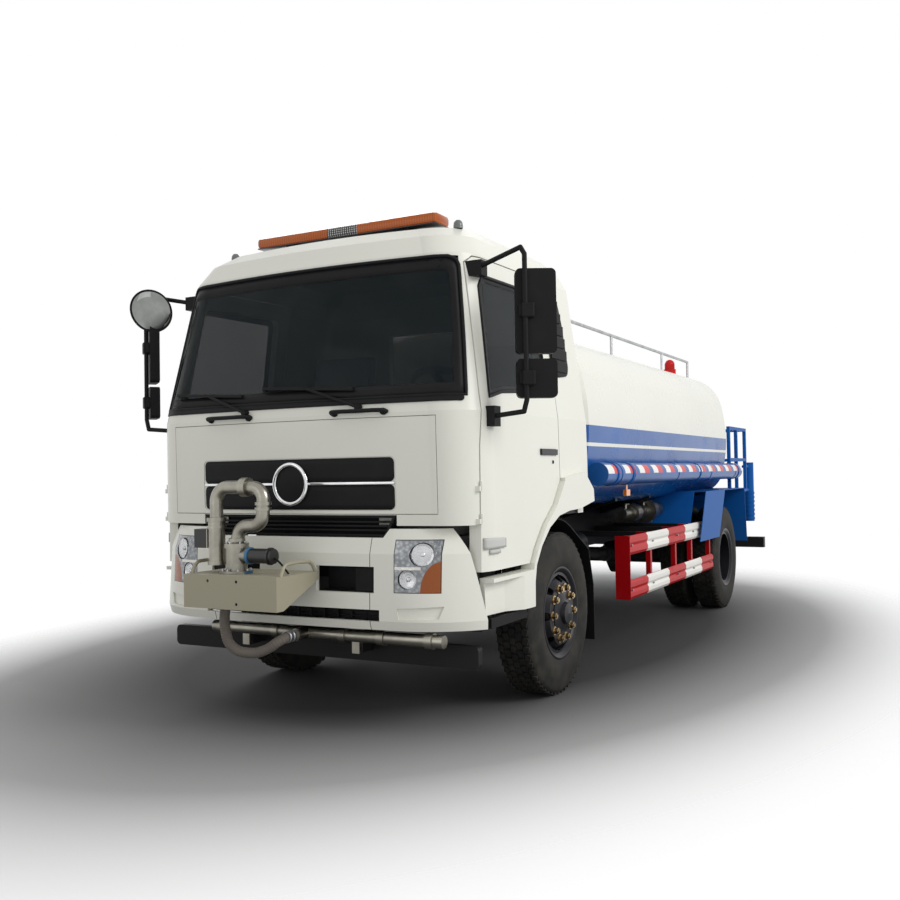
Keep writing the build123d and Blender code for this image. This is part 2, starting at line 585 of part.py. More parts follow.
# Windscreen and rear window openings, as (distance to the left, height)
WINDSCREEN_OUTLINE = ((1094, 1884), (1034, 2328), (978, 2700), (-978, 2700), (-1034, 2328), (-1094, 1884))
REAR_WINDOW = (-420, 420, 2130, 2520)
LID_HALF_WIDTH = 952
LID_BOTTOM_Z = 1227
LID_TOP_Z = 1777
LID_THICKNESS = 28


def front_face(points, grow=0.0):
    """A face drawn on the front of the cab from a list of points."""
    with BuildSketch(Plane.YZ.offset(ahead(900))) as drawn:
        with BuildLine():
            Polyline(*points, close=True)
        make_face()
        if grow:
            offset(amount=grow, kind=Kind.INTERSECTION)
    return drawn.sketch


lid_outline = (
    (LID_HALF_WIDTH, LID_BOTTOM_Z), (LID_HALF_WIDTH, LID_TOP_Z), (-LID_HALF_WIDTH, LID_TOP_Z),
    (-LID_HALF_WIDTH, LID_BOTTOM_Z),
)
with BuildPart() as lid_layer:
    add(cab_outer)
    add(cab_solid(LID_THICKNESS), mode=Mode.SUBTRACT)
    extrude(front_face(lid_outline), amount=700, mode=Mode.INTERSECT)

PANEL_HALF_WIDTH = 700
PANEL_LOW_Z = 1248
PANEL_HIGH_Z = 1556
PANEL_DEPTH = 6
with BuildSketch(Plane.YZ) as panel_outline:
    with Locations((0, (PANEL_LOW_Z + PANEL_HIGH_Z) / 2)):
        RectangleRounded(2 * PANEL_HALF_WIDTH, PANEL_HIGH_Z - PANEL_LOW_Z, 35)
with BuildPart() as panel_recess:
    add(cab_outer)
    add(cab_solid(PANEL_DEPTH), mode=Mode.SUBTRACT)
    extrude(panel_outline.sketch.moved(Location((ahead(900), 0, 0))), amount=700, mode=Mode.INTERSECT)
with BuildPart() as front_lid:
    add(cab_outer)
    add(cab_solid(LID_THICKNESS - SEAT_CLEARANCE), mode=Mode.SUBTRACT)
    extrude(front_face(lid_outline, -4), amount=700, mode=Mode.INTERSECT)
    add(panel_recess.part, mode=Mode.SUBTRACT)
write(front_lid.part, "front_lid")

with BuildPart() as windscreen:
    add(glass_skin)
    extrude(front_face(WINDSCREEN_OUTLINE, -SEAT_CLEARANCE), amount=700, mode=Mode.INTERSECT)

rear_skin_x = ahead(-CAB_REAR + 18)
with BuildPart() as cab_glass:
    add(windscreen.part)
    block((rear_skin_x, rear_skin_x + GLASS_THICKNESS),
          (REAR_WINDOW[0] + SEAT_CLEARANCE, REAR_WINDOW[1] - SEAT_CLEARANCE),
          (REAR_WINDOW[2] + SEAT_CLEARANCE, REAR_WINDOW[3] - SEAT_CLEARANCE))
write(cab_glass.part, "cab_glass")

# Cab floor: a plate between the walls that rises in a tunnel over the engine
tunnel_front = ahead(CAB_STATIONS[0][1] - 260)
tunnel_rear = ahead(-CAB_REAR + CAB_WALL + SEAT_CLEARANCE)
tunnel_room = TUNNEL_HALF_WIDTH - CAB_FLOOR_THICKNESS
FLOOR_FRONT = GRILLE_BACK - 50
with BuildPart() as cab_floor:
    extrude(cab_section(CAB_FLOOR_Z, CAB_STATIONS[0][1], CAB_STATIONS[0][2], CAB_REAR, CAB_WALL + SEAT_CLEARANCE),
            amount=CAB_FLOOR_THICKNESS)
    for side in (-1, 1):
        y = sorted((side * FLOOR_HALF_WIDTH, side * HIGH_SIDE))
        block((ahead(-CAB_REAR), ahead(CAB_STATIONS[0][1])), y, (CAB_FLOOR_Z - 10, TUNNEL_TOP_Z), mode=Mode.SUBTRACT)
        # the floor keeps clear of the door's inner edge, which swings back round the hinge
        y = sorted((side * FLOOR_HINGE_HALF_WIDTH, side * HIGH_SIDE))
        block((ahead(HINGE_AHEAD - 110), ahead(CAB_STATIONS[0][1])), y, (CAB_FLOOR_Z - 10, TUNNEL_TOP_Z),
              mode=Mode.SUBTRACT)
    block((ahead(FLOOR_FRONT), ahead(CAB_STATIONS[1][1])), (-HIGH_SIDE, HIGH_SIDE), (CAB_FLOOR_Z - 10, TUNNEL_TOP_Z),
          mode=Mode.SUBTRACT)
    block((tunnel_rear, tunnel_front), (-TUNNEL_HALF_WIDTH, TUNNEL_HALF_WIDTH), (CAB_FLOOR_Z, TUNNEL_TOP_Z))
    block((tunnel_rear - 10, tunnel_front - CAB_FLOOR_THICKNESS), (-tunnel_room, tunnel_room),
          (CAB_FLOOR_Z - 10, TUNNEL_TOP_Z - CAB_FLOOR_THICKNESS), mode=Mode.SUBTRACT)
write(cab_floor.part, "cab_floor")

# Cab shell: walls and roof, less the doors, windows and the lid's recess
with BuildPart() as cab_shell:
    add(cab_outer)
    add(cab_room, mode=Mode.SUBTRACT)
    # the front wall stands above the grille, and ends behind it
    block((ahead(GRILLE_BACK), ahead(CAB_STATIONS[1][1] + 10)), (-GRILLE_HALF_WIDTH, GRILLE_HALF_WIDTH),
          (CAB_FLOOR_Z - 5, LID_BOTTOM_Z - 3), mode=Mode.SUBTRACT)
    for side in (-1, 1):
        doorway = side_face(DOOR_OUTLINE, DOOR_CLEARANCE).moved(Location((0, side * DOOR_CUT_Y, 0)))
        extrude(doorway, amount=-HIGH_SIDE * side, mode=Mode.SUBTRACT)
    # the floor and the tunnel behind it are a piece of their own
    extrude(cab_section(CAB_FLOOR_Z - 1, CAB_STATIONS[0][1], CAB_STATIONS[0][2], CAB_REAR, CAB_WALL),
            amount=CAB_FLOOR_THICKNESS + 1, mode=Mode.SUBTRACT)
    block((ahead(-CAB_REAR - 50), ahead(-CAB_REAR + CAB_WALL + 5)), (-tunnel_room, tunnel_room),
          (CAB_FLOOR_Z - 10, TUNNEL_TOP_Z - CAB_FLOOR_THICKNESS), mode=Mode.SUBTRACT)
    # the wheels' arches cut the lower side walls
    extrude(front_face(WINDSCREEN_OUTLINE), amount=700, mode=Mode.SUBTRACT)
    for side in (-1, 1):
        arch = side_face(ARCH_OUTLINE, 2).moved(Location((0, side * ARCH_INNER_Y, 0)))
        extrude(arch, amount=-HIGH_SIDE * side, mode=Mode.SUBTRACT)
    block((ahead(-CAB_REAR - 50), ahead(-CAB_REAR + CAB_WALL + 60)), REAR_WINDOW[:2], REAR_WINDOW[2:],
          mode=Mode.SUBTRACT)
    add(lid_layer.part, mode=Mode.SUBTRACT)
    for side in (-1, 1):
        y = side * HINGE_Y
        for z in DOOR_HINGES:
            low_y, high_y = sorted((y, y - side * 30))
            block((ahead(HINGE_AHEAD), ahead(HINGE_AHEAD + 24)), (low_y, high_y), (z - HINGE_HEIGHT, z - SEAT_CLEARANCE))
            rod((ahead(HINGE_AHEAD), y, z - HINGE_HEIGHT), (ahead(HINGE_AHEAD), y, z - SEAT_CLEARANCE), HINGE_RADIUS)
            rod((ahead(HINGE_AHEAD), y, z - HINGE_HEIGHT), (ahead(HINGE_AHEAD), y, z + HINGE_HEIGHT), HINGE_PIN_RADIUS)
write(cab_shell.part, "cab_shell")

# Side skirts: the flare over the wheel and the panel below the door, with a solid for each side
SKIRT_OUTER_Y = 1206
SKIRT_INNER_Y = 1118
FLARE_OUTLINE = (
    (1148, 660), (1165, 868), (604, 868), (588, 905), (530, 985), (394, 1120), (209, 1243), (72, 1393), (72, 1412),
    (-300, 1446), (-462, 1330), (-474, 1246), (-200, 1203), (0, 1197), (180, 1172), (340, 1105), (475, 1000),
    (560, 893), (586, 790), (590, 646), (660, 646),
)
# the foot well in the panel below the door, as (distance ahead of the axle, distance to the side)
WELL_OUTLINE = ((1180, SKIRT_OUTER_Y + 5), (1180, 1146), (900, 1146), (740, SKIRT_OUTER_Y + 5))
WELL_LOW_Z = 640
WELL_HIGH_Z = 846
with BuildPart() as side_skirts:
    for side in (-1, 1):
        with BuildSketch(Plane.XZ.offset(-side * SKIRT_INNER_Y)):
            with BuildLine():
                Polyline(*[(ahead(x), z) for x, z in FLARE_OUTLINE], close=True)
            make_face()
        extrude(amount=-side * (SKIRT_OUTER_Y - SKIRT_INNER_Y))
        with BuildSketch(Plane.XY.offset(WELL_LOW_Z)):
            with BuildLine():
                Polyline(*[(ahead(x), side * y) for x, y in WELL_OUTLINE], close=True)
            make_face()
        extrude(amount=WELL_HIGH_Z - WELL_LOW_Z, mode=Mode.SUBTRACT)
    add(cab_solid(-SEAT_CLEARANCE), mode=Mode.SUBTRACT)
write(side_skirts.part, "side_skirts")

# Bumper: sections at a few heights, hollow behind, cut for lamps, tow hooks and the lower slot
# columns: height, front centre ahead of the axle, half width
BUMPER_STATIONS = (
    (588, 1424, 1188),
    (640, 1440, 1195),
    (1010, 1430, 1172),
    (1148, 1388, 1140),
)
BUMPER_WALL = 28
BUMPER_REAR = 1120
# the bumper's rear edge on the side, as (distance ahead of the axle, height)
BUMPER_EDGE = ((1100, 500), (1158, 585), (1206, 905), (1246, 1152), (1246, 1200), (1000, 1200), (1000, 500))
LAMP_LOW_Y = 711
LAMP_HIGH_Y = 971
LAMP_LOW_Z = 797
LAMP_HIGH_Z = 1090


def bumper_solid(inset):
    """The bumper's outer form, or the room behind it where inset is its wall."""
    sections = []
    for height, front, half_width in BUMPER_STATIONS:
        x_front = ahead(front - inset)
        side = half_width - inset
        with BuildSketch(Plane.XY.offset(height)) as section:
            with BuildLine():
                ThreePointArc((x_front - 22, -690), (x_front, 0), (x_front - 22, 690))
                ThreePointArc((x_front - 22, 690), (x_front - 92, side - 225), (ahead(BUMPER_REAR), side))
                Line((ahead(BUMPER_REAR), side), (ahead(BUMPER_REAR), -side))
                ThreePointArc((ahead(BUMPER_REAR), -side), (x_front - 92, -side + 225), (x_front - 22, -690))
            make_face()
        sections.append(section.sketch)
    with BuildPart() as body:
        loft(sections, ruled=True)
    return body.part


def skin_recess(outer, inner, outline, from_x):
    """The part of a skin, between its outer form and an inner one, that lies ahead of an outline."""
    with BuildPart() as recess:
        add(outer)
        add(inner, mode=Mode.SUBTRACT)
        extrude(outline.moved(Location((from_x, 0, 0))), amount=700, mode=Mode.INTERSECT)
    return recess.part


bumper_outer = bumper_solid(0)
bumper_room = bumper_solid(BUMPER_WALL)
with BuildPart() as bumper_skin:
    add(bumper_outer)
    add(bumper_room, mode=Mode.SUBTRACT)
    block((ahead(BUMPER_REAR - 20), ahead(BUMPER_REAR + 20)), (-1150, 1150), (570, 1170), mode=Mode.SUBTRACT)
    extrude(side_face(BUMPER_EDGE), amount=HIGH_SIDE, both=True, mode=Mode.SUBTRACT)

TOW_LOW_Y = 205
TOW_HIGH_Y = 586
TOW_LOW_Z = 792
TOW_HIGH_Z = 938
LOWER_SLOT_HALF = 620
# the pocket below each headlamp, as (distance to the side, height)
POCKET_OUTLINE = ((742, 652), (730, 712), (985, 726), (960, 658))
POCKET_DEPTH = 8
with BuildSketch(Plane.YZ) as pockets:
    for side in (-1, 1):
        with BuildLine():
            Polyline(*[(side * y, z) for y, z in POCKET_OUTLINE], close=True)
        make_face()
GRILLE_END_SLOPE = 70
with BuildPart() as bumper:
    add(bumper_skin.part)
    for side in (-1, 1):
        for low_y, high_y, low_z, high_z in (
                (LAMP_LOW_Y, LAMP_HIGH_Y, LAMP_LOW_Z, LAMP_HIGH_Z), (TOW_LOW_Y, TOW_HIGH_Y, TOW_LOW_Z, TOW_HIGH_Z)):
            y = sorted((side * low_y, side * high_y))
            block((ahead(1200), ahead(1500)), y, (low_z, high_z), mode=Mode.SUBTRACT)
        y = sorted((side * 335, side * 425))
        block((ahead(FRAME_FRONT) + SEAT_CLEARANCE, ahead(1420)), y, (TOW_HIGH_Z + 8, FRAME_TOP - 6))
    block((ahead(1200), ahead(1500)), (-LOWER_SLOT_HALF, LOWER_SLOT_HALF), (636, 700), mode=Mode.SUBTRACT)
    with BuildSketch(Plane.YZ.offset(ahead(1200))):
        with BuildLine():
            Polyline((-GRILLE_HALF_WIDTH + GRILLE_END_SLOPE, 1098), (GRILLE_HALF_WIDTH - GRILLE_END_SLOPE, 1098),
                     (GRILLE_HALF_WIDTH, 1200), (-GRILLE_HALF_WIDTH, 1200), close=True)
        make_face()
    extrude(amount=300, mode=Mode.SUBTRACT)
    add(skin_recess(bumper_outer, bumper_solid(POCKET_DEPTH), pockets.sketch, ahead(1100)), mode=Mode.SUBTRACT)
write(bumper.part, "bumper")

# columns: bowl's distance to the side, height, radius
LAMP_BOWLS = ((868, 1008, 66), (790, 872, 54))
BOWL_DEPTH = 14
with BuildSketch(Plane.YZ) as bowls:
    for side in (-1, 1):
        for y, z, radius in LAMP_BOWLS:
            with Locations((side * y, z)):
                Circle(radius)
with BuildPart() as headlamps:
    add(bumper_skin.part)
    with BuildSketch(Plane.YZ.offset(ahead(1200))):
        for side in (-1, 1):
            with Locations((side * (LAMP_LOW_Y + LAMP_HIGH_Y) / 2, (LAMP_LOW_Z + LAMP_HIGH_Z) / 2)):
                Rectangle(LAMP_HIGH_Y - LAMP_LOW_Y - 2 * SEAT_CLEARANCE, LAMP_HIGH_Z - LAMP_LOW_Z - 2 * SEAT_CLEARANCE)
    extrude(amount=300, mode=Mode.INTERSECT)
    add(skin_recess(bumper_outer, bumper_solid(BOWL_DEPTH), bowls.sketch, ahead(1200)), mode=Mode.SUBTRACT)
write(headlamps.part, "headlamps")

# Grille between bumper and lid: an open frame with level slats
GRILLE_FRONT = 1352
GRILLE_SLATS = 3
SLAT_DEPTH = 10
grille_bottom = 1101
grille_top = LID_BOTTOM_Z - 4
with BuildPart() as grille:
    with BuildSketch(Plane.YZ.offset(ahead(GRILLE_BACK) + SEAT_CLEARANCE)):
        with BuildLine():
            Polyline((-GRILLE_HALF_WIDTH + GRILLE_END_SLOPE + 2, grille_bottom),
                     (GRILLE_HALF_WIDTH - GRILLE_END_SLOPE - 2, grille_bottom),
                     (GRILLE_HALF_WIDTH - 4, grille_top), (-GRILLE_HALF_WIDTH + 4, grille_top), close=True)
        make_face()
        offset(amount=-14, kind=Kind.INTERSECTION, mode=Mode.SUBTRACT)
        gap = (grille_top - grille_bottom - 28) / (GRILLE_SLATS + 1)
        for number in range(GRILLE_SLATS):
            z = grille_bottom + 14 + gap * (number + 1)
            half = GRILLE_HALF_WIDTH - 14 - GRILLE_END_SLOPE * (grille_top - z) / (grille_top - grille_bottom)
            with Locations((0, z)):
                Rectangle(2 * half, SLAT_DEPTH)
    extrude(amount=GRILLE_FRONT - GRILLE_BACK)
write(grille.part, "grille")

# Cab inside: dashboard with the steering column, seats and the steering wheel
WHEEL_CENTRE = (560, 600, 1985)
WHEEL_TILT = 32
WHEEL_RIM_RADIUS = 215
WHEEL_TUBE_RADIUS = 16
COLUMN_RADIUS = 34
DASH_TOP_Z = 1815
room_floor_z = CAB_FLOOR_Z + CAB_FLOOR_THICKNESS
wheel_axis = Vector(-sin(radians(WHEEL_TILT)), 0, cos(radians(WHEEL_TILT)))
wheel_middle = Vector(ahead(WHEEL_CENTRE[0]), WHEEL_CENTRE[1], WHEEL_CENTRE[2])
wheel_plane = Plane(origin=wheel_middle, x_dir=(0, 1, 0), z_dir=wheel_axis)
with BuildPart() as dashboard:
    with BuildSketch(Plane.XZ.offset(-1000)):
        with BuildLine():
            Polyline((ahead(880), 1480), (ahead(800), 1560), (ahead(780), 1720), (ahead(860), DASH_TOP_Z + 20),
                     (ahead(1100), DASH_TOP_Z), (ahead(1400), DASH_TOP_Z), (ahead(1400), 1480), close=True)
        make_face()
    extrude(amount=2000)
    add(cab_solid(CAB_WALL + SEAT_CLEARANCE, roof_inset=CAB_WALL, floor_raise=CAB_FLOOR_THICKNESS),
        mode=Mode.INTERSECT)
    column_top = wheel_middle - wheel_axis * (22 + SEAT_CLEARANCE)
    column_foot = wheel_middle - wheel_axis * 490
    rod(tuple(column_foot), tuple(column_top), COLUMN_RADIUS)
write(dashboard.part, "dashboard")

with BuildPart() as steering_wheel:
    with BuildSketch(wheel_plane):
        Circle(WHEEL_RIM_RADIUS + WHEEL_TUBE_RADIUS)
        Circle(WHEEL_RIM_RADIUS - WHEEL_TUBE_RADIUS, mode=Mode.SUBTRACT)
        Rectangle(2 * WHEEL_RIM_RADIUS, 40)
        with Locations((0, -WHEEL_RIM_RADIUS / 2)):
            Rectangle(40, WHEEL_RIM_RADIUS)
        Circle(58)
    extrude(amount=WHEEL_TUBE_RADIUS, both=True)
    with BuildSketch(wheel_plane.offset(-22)):
        Circle(45)
    extrude(amount=22)
write(steering_wheel.part, "steering_wheel")

# columns: seat's middle y, cushion width
SEATS = ((640, 470), (-640, 470))
with BuildPart() as seats:
    for y, width in SEATS:
        half = width / 2
        block((ahead(-80), ahead(360)), (y - half + 60, y + half - 60), (room_floor_z + SEAT_CLEARANCE, 1520))
        block((ahead(-130), ahead(400)), (y - half, y + half), (1520, 1660))
        with BuildSketch(Plane.XZ.offset(-y - half)):
            with BuildLine():
                Polyline((ahead(-150), 1560), (ahead(-30), 1560), (ahead(-110), 2330), (ahead(-200), 2330), close=True)
            make_face()
        extrude(amount=width)
write(seats.part, "seats")

# Mirrors on the doors: a bent tube on two brackets, with two heads turned towards the driver
MIRROR_TUBE_RADIUS = 14
# columns: distance ahead of the axle, distance to the side, height
MIRROR_ROUTE = (
    (1030, 1060, 2625), (1128, 1385, 2690), (1128, 1408, 2650), (1128, 1408, 1850), (1128, 1390, 1785),
    (1100, 1150, 1765),
)
# columns: height of the middle, width, height
MIRROR_HEADS = ((2340, 225, 470), (1968, 225, 215))
MIRROR_THICKNESS = 62
# columns: x from, x to, y from, y to, z from, z to
MIRROR_BRACKETS = ((985, 1062, 940, 1112, 2580, 2668), (1052, 1132, 1050, 1212, 1712, 1826))


def mirror_set(turn):
    """A left-hand set of mirrors whose heads are turned this many degrees towards the driver."""
    with BuildPart() as mirrors:
        route = [(ahead(x), y, z) for x, y, z in MIRROR_ROUTE]
        for start, end in zip(route[:-1], route[1:]):
            rod(start, end, MIRROR_TUBE_RADIUS)
        for joint in route[1:-1]:
            with Locations(joint):
                Sphere(MIRROR_TUBE_RADIUS)
        facing = Vector(cos(radians(turn)), sin(radians(turn)), 0)
        tube = Vector(ahead(MIRROR_ROUTE[2][0]), MIRROR_ROUTE[2][1], 0)
        for height, width, tall in MIRROR_HEADS:
            middle = tube - facing * (MIRROR_TUBE_RADIUS + MIRROR_THICKNESS / 2 + 6) + Vector(0, 0, height)
            sideways = Vector(-facing.Y, facing.X, 0)
            head = Plane(origin=middle + sideways * 62, x_dir=sideways, z_dir=facing)
            with BuildSketch(head) as outline:
                RectangleRounded(width, tall, 28)
            extrude(outline.sketch, amount=MIRROR_THICKNESS / 2, both=True)
            clamp = Plane(origin=middle + facing * MIRROR_THICKNESS / 2, x_dir=sideways, z_dir=facing)
            with BuildSketch(clamp) as clamp_outline:
                Rectangle(70, 60)
            extrude(clamp_outline.sketch, amount=MIRROR_TUBE_RADIUS + 12)
        for x_low, x_high, y_low, y_high, z_low, z_high in MIRROR_BRACKETS:
            block((ahead(x_low), ahead(x_high)), (y_low, y_high), (z_low, z_high))
        add(cab_solid(-SEAT_CLEARANCE), mode=Mode.SUBTRACT)
    return mirrors.part


write(mirror_set(30), "mirrors_left")
with BuildPart() as mirrors_right:
    mirror(mirror_set(38), about=Plane.XZ)
write(mirrors_right.part, "mirrors_right")

# Lamps on the roof: the light bar on two feet, and two markers
LIGHT_BAR_HALF = 691
LIGHT_BAR_AHEAD = 730
LIGHT_BAR_WIDTH = 190
ROOF_TOP_Z = CAB_STATIONS[-1][0]
LIGHT_BAR_BOTTOM = ROOF_TOP_Z + 25
LIGHT_BAR_HEIGHT = 75
with BuildPart() as roof_lamps:
    with BuildSketch(Plane.YZ.offset(ahead(LIGHT_BAR_AHEAD - LIGHT_BAR_WIDTH / 2))):
        with Locations((0, LIGHT_BAR_BOTTOM + LIGHT_BAR_HEIGHT / 2)):
            RectangleRounded(2 * LIGHT_BAR_HALF, LIGHT_BAR_HEIGHT, LIGHT_BAR_HEIGHT * 0.32)
    extrude(amount=LIGHT_BAR_WIDTH)
    for side in (-1, 1):
        y = side * 440
        block((ahead(LIGHT_BAR_AHEAD - 60), ahead(LIGHT_BAR_AHEAD + 60)), (y - 40, y + 40),
              (ROOF_TOP_Z - 60, LIGHT_BAR_BOTTOM + 5))
        block((ahead(795), ahead(895)), (side * 856 - 30, side * 856 + 30),
              (ROOF_TOP_Z - 100, ROOF_TOP_Z + 15))
    add(cab_solid(-SEAT_CLEARANCE), mode=Mode.SUBTRACT)
write(roof_lamps.part, "roof_lamps")

# Front mudguards inside the arches, each hung on two rods from the frame
MUDGUARD_RADIUS = 612
MUDGUARD_WALL = 6
MUDGUARD_INNER_Y = 842
MUDGUARD_OUTER_Y = 1100
FLAP_X = -712
with BuildPart() as mudguards_front:
    for side in (-1, 1):
        with BuildSketch(Plane.XZ.offset(-side * MUDGUARD_INNER_Y)):
            outer = MUDGUARD_RADIUS + MUDGUARD_WALL
            wall = MUDGUARD_WALL
            start = (cos(radians(35)), sin(radians(35)))
            middle = (cos(radians(75)), sin(radians(75)))
            end = (cos(radians(118)), sin(radians(118)))
            with BuildLine():
                upper = ThreePointArc(*[(ahead(outer * c), TYRE_RADIUS + outer * s) for c, s in (start, middle, end)])
                Polyline(upper @ 1, (ahead(-628), 900), (ahead(FLAP_X), 640), (ahead(FLAP_X - 6), 240),
                         (ahead(FLAP_X - 6 + wall), 240), (ahead(FLAP_X + wall), 638), (ahead(-628 + wall), 896),
                         (ahead(MUDGUARD_RADIUS * end[0]), TYRE_RADIUS + MUDGUARD_RADIUS * end[1]))
                lower = ThreePointArc(
                    *[(ahead(MUDGUARD_RADIUS * c), TYRE_RADIUS + MUDGUARD_RADIUS * s) for c, s in (end, middle, start)])
                Line(lower @ 1, upper @ 0)
            make_face()
        extrude(amount=-side * (MUDGUARD_OUTER_Y - MUDGUARD_INNER_Y))
        for x, z, frame_y in ((-690, 730, FRONT_SPRING_Y + 55), (-634, 905, FRAME_HALF_WIDTH)):
            rod((ahead(x), side * (frame_y + SEAT_CLEARANCE), z), (ahead(x), side * (MUDGUARD_OUTER_Y - 40), z), 13)
write(mudguards_front.part, "mudguards_front")

# Steps below the doors, each hung on an arm from the frame
with BuildPart() as cab_steps:
    for side in (-1, 1):
        y = sorted((side * 880, side * (SKIRT_INNER_Y + 50)))
        block((ahead(640), ahead(1125)), y, (585, 640))
        arm = sorted((side * (FRAME_HALF_WIDTH + SEAT_CLEARANCE), side * 900))
        block((ahead(860), ahead(920)), arm, (frame_bottom + 20, frame_bottom + 70))
        riser = sorted((side * 882, side * 912))
        block((ahead(860), ahead(920)), riser, (600, frame_bottom + 70))
write(cab_steps.part, "cab_steps")

# Under the bumper: the underrun board, then the spray pipes with their nozzles
BOARD_AHEAD = 1150
BOARD_HALF = 1108
BOARD_TOP = 490
BOARD_BOTTOM = 362
BOARD_THICKNESS = 50
with BuildPart() as underrun_board:
    with BuildSketch(Plane.YZ.offset(ahead(BOARD_AHEAD - BOARD_THICKNESS / 2))):
        with Locations((0, (BOARD_TOP + BOARD_BOTTOM) / 2)):
            RectangleRounded(2 * BOARD_HALF, BOARD_TOP - BOARD_BOTTOM, 30)
    extrude(amount=BOARD_THICKNESS)
    for side in (-1, 1):
        y = side * (FRAME_HALF_WIDTH - FRAME_FLANGE / 2)
        block((ahead(BOARD_AHEAD - 20), ahead(BOARD_AHEAD + 20)), (y - 30, y + 30),
              (BOARD_TOP - 20, frame_bottom - SEAT_CLEARANCE))
write(underrun_board.part, "underrun_board")

SPRAY_AHEAD = 1330
SPRAY_Z = 532
SPRAY_RADIUS = 36
BRANCH_Y = 60
BRANCH_END = 1440
with BuildPart() as spray_pipes:
    rod((ahead(SPRAY_AHEAD), -640, SPRAY_Z), (ahead(SPRAY_AHEAD), 980, SPRAY_Z), SPRAY_RADIUS)
    for y in (-600, -180, 300, 560, 870):
        rod((ahead(SPRAY_AHEAD), y, SPRAY_Z), (ahead(SPRAY_AHEAD), y + 46, SPRAY_Z), SPRAY_RADIUS + 8)
    rod((ahead(SPRAY_AHEAD), BRANCH_Y, SPRAY_Z), (ahead(BRANCH_END), BRANCH_Y, SPRAY_Z), SPRAY_RADIUS)
    for y in (-400, 400):
        block((ahead(BOARD_AHEAD + BOARD_THICKNESS / 2) + SEAT_CLEARANCE, ahead(SPRAY_AHEAD)), (y - 25, y + 25),
              (BOARD_TOP - 60, SPRAY_Z - 20))
write(spray_pipes.part, "spray_pipes")

# Front water cannon: a sheet tray on the bumper, the swivel base, the pipe loop and the barrel
bumper_face = BUMPER_STATIONS[2][1]
with BuildPart() as cannon_tray:
    with BuildSketch(Plane.XZ.offset(-TRAY_LEFT_Y)):
        with BuildLine():
            Polyline((ahead(TRAY_REAR), TRAY_TOP_Z), (ahead(TRAY_FRONT), TRAY_TOP_Z), (ahead(TRAY_FRONT), TRAY_BOTTOM_Z),
                     (ahead(TRAY_FRONT - 60), TRAY_BOTTOM_Z), (ahead(TRAY_REAR), TRAY_TOP_Z - 40), close=True)
        make_face()
    extrude(amount=TRAY_LEFT_Y - TRAY_RIGHT_Y)
    with BuildSketch(Plane.XZ.offset(-TRAY_LEFT_Y + TRAY_WALL)):
        with BuildLine():
            Polyline((ahead(TRAY_REAR - 30), TRAY_TOP_Z - TRAY_WALL), (ahead(TRAY_FRONT - TRAY_WALL), TRAY_TOP_Z - TRAY_WALL),
                     (ahead(TRAY_FRONT - TRAY_WALL), TRAY_BOTTOM_Z - 20), (ahead(TRAY_REAR - 30), TRAY_BOTTOM_Z - 20),
                     close=True)
        make_face()
    extrude(amount=TRAY_LEFT_Y - TRAY_RIGHT_Y - 2 * TRAY_WALL, mode=Mode.SUBTRACT)
    add(bumper_solid(-SEAT_CLEARANCE), mode=Mode.SUBTRACT)
    for y, z in TRAY_HOLES:
        rod((ahead(TRAY_FRONT - 40), y, z), (ahead(TRAY_FRONT + 10), y, z), 9, mode=Mode.SUBTRACT)
write(cannon_tray.part, "cannon_tray")

cannon_x = ahead(CANNON_AHEAD)
BASE_RADIUS = 62
BASE_FLANGE_RADIUS = 92
MOTOR_RADIUS = 42
with BuildPart() as cannon_base:
    rod((cannon_x, CANNON_Y, TRAY_TOP_Z + SEAT_CLEARANCE), (cannon_x, CANNON_Y, TRAY_TOP_Z + 16), BASE_FLANGE_RADIUS)
    rod((cannon_x, CANNON_Y, TRAY_TOP_Z + 10), (cannon_x, CANNON_Y, CANNON_FLANGE_Z - 25 - SEAT_CLEARANCE), BASE_RADIUS)
    rod((cannon_x, CANNON_Y + 30, 1006), (cannon_x, CANNON_Y + 268, 1006), MOTOR_RADIUS)
    for y in (92, 236):
        rod((cannon_x, CANNON_Y + y, 1006), (cannon_x, CANNON_Y + y + 14, 1006), MOTOR_RADIUS + 7)
write(cannon_base.part, "cannon_base")

pipe = CANNON_PIPE_RADIUS
# the loop's middle line, as (distance to the left of the swivel, height)
LOOP_ROUTE = ((0, 1068), (30, 1172), (190, 1180), (200, 1385), (80, 1394))
with BuildPart() as cannon_loop:
    rod((cannon_x, CANNON_Y, CANNON_FLANGE_Z - 25), (cannon_x, CANNON_Y, CANNON_FLANGE_Z), BASE_RADIUS + 8)
    with BuildLine() as loop_line:
        FilletPolyline(*[(cannon_x, CANNON_Y + y, z) for y, z in LOOP_ROUTE], radius=70)
    with BuildSketch(Plane(origin=loop_line.line @ 0, z_dir=loop_line.line % 0)):
        Circle(pipe)
    sweep()
    rod((cannon_x, CANNON_Y + 96, CANNON_TOP_Z), (cannon_x, CANNON_Y + 72, CANNON_TOP_Z), pipe + 16)
    # columns: distance to the left of the swivel, height of each collar's foot
    for y, z in ((4, 1086), (194, 1262), (196, 1292)):
        rod((cannon_x, CANNON_Y + y, z), (cannon_x, CANNON_Y + y, z + 18), pipe + 9)
write(cannon_loop.part, "cannon_loop")

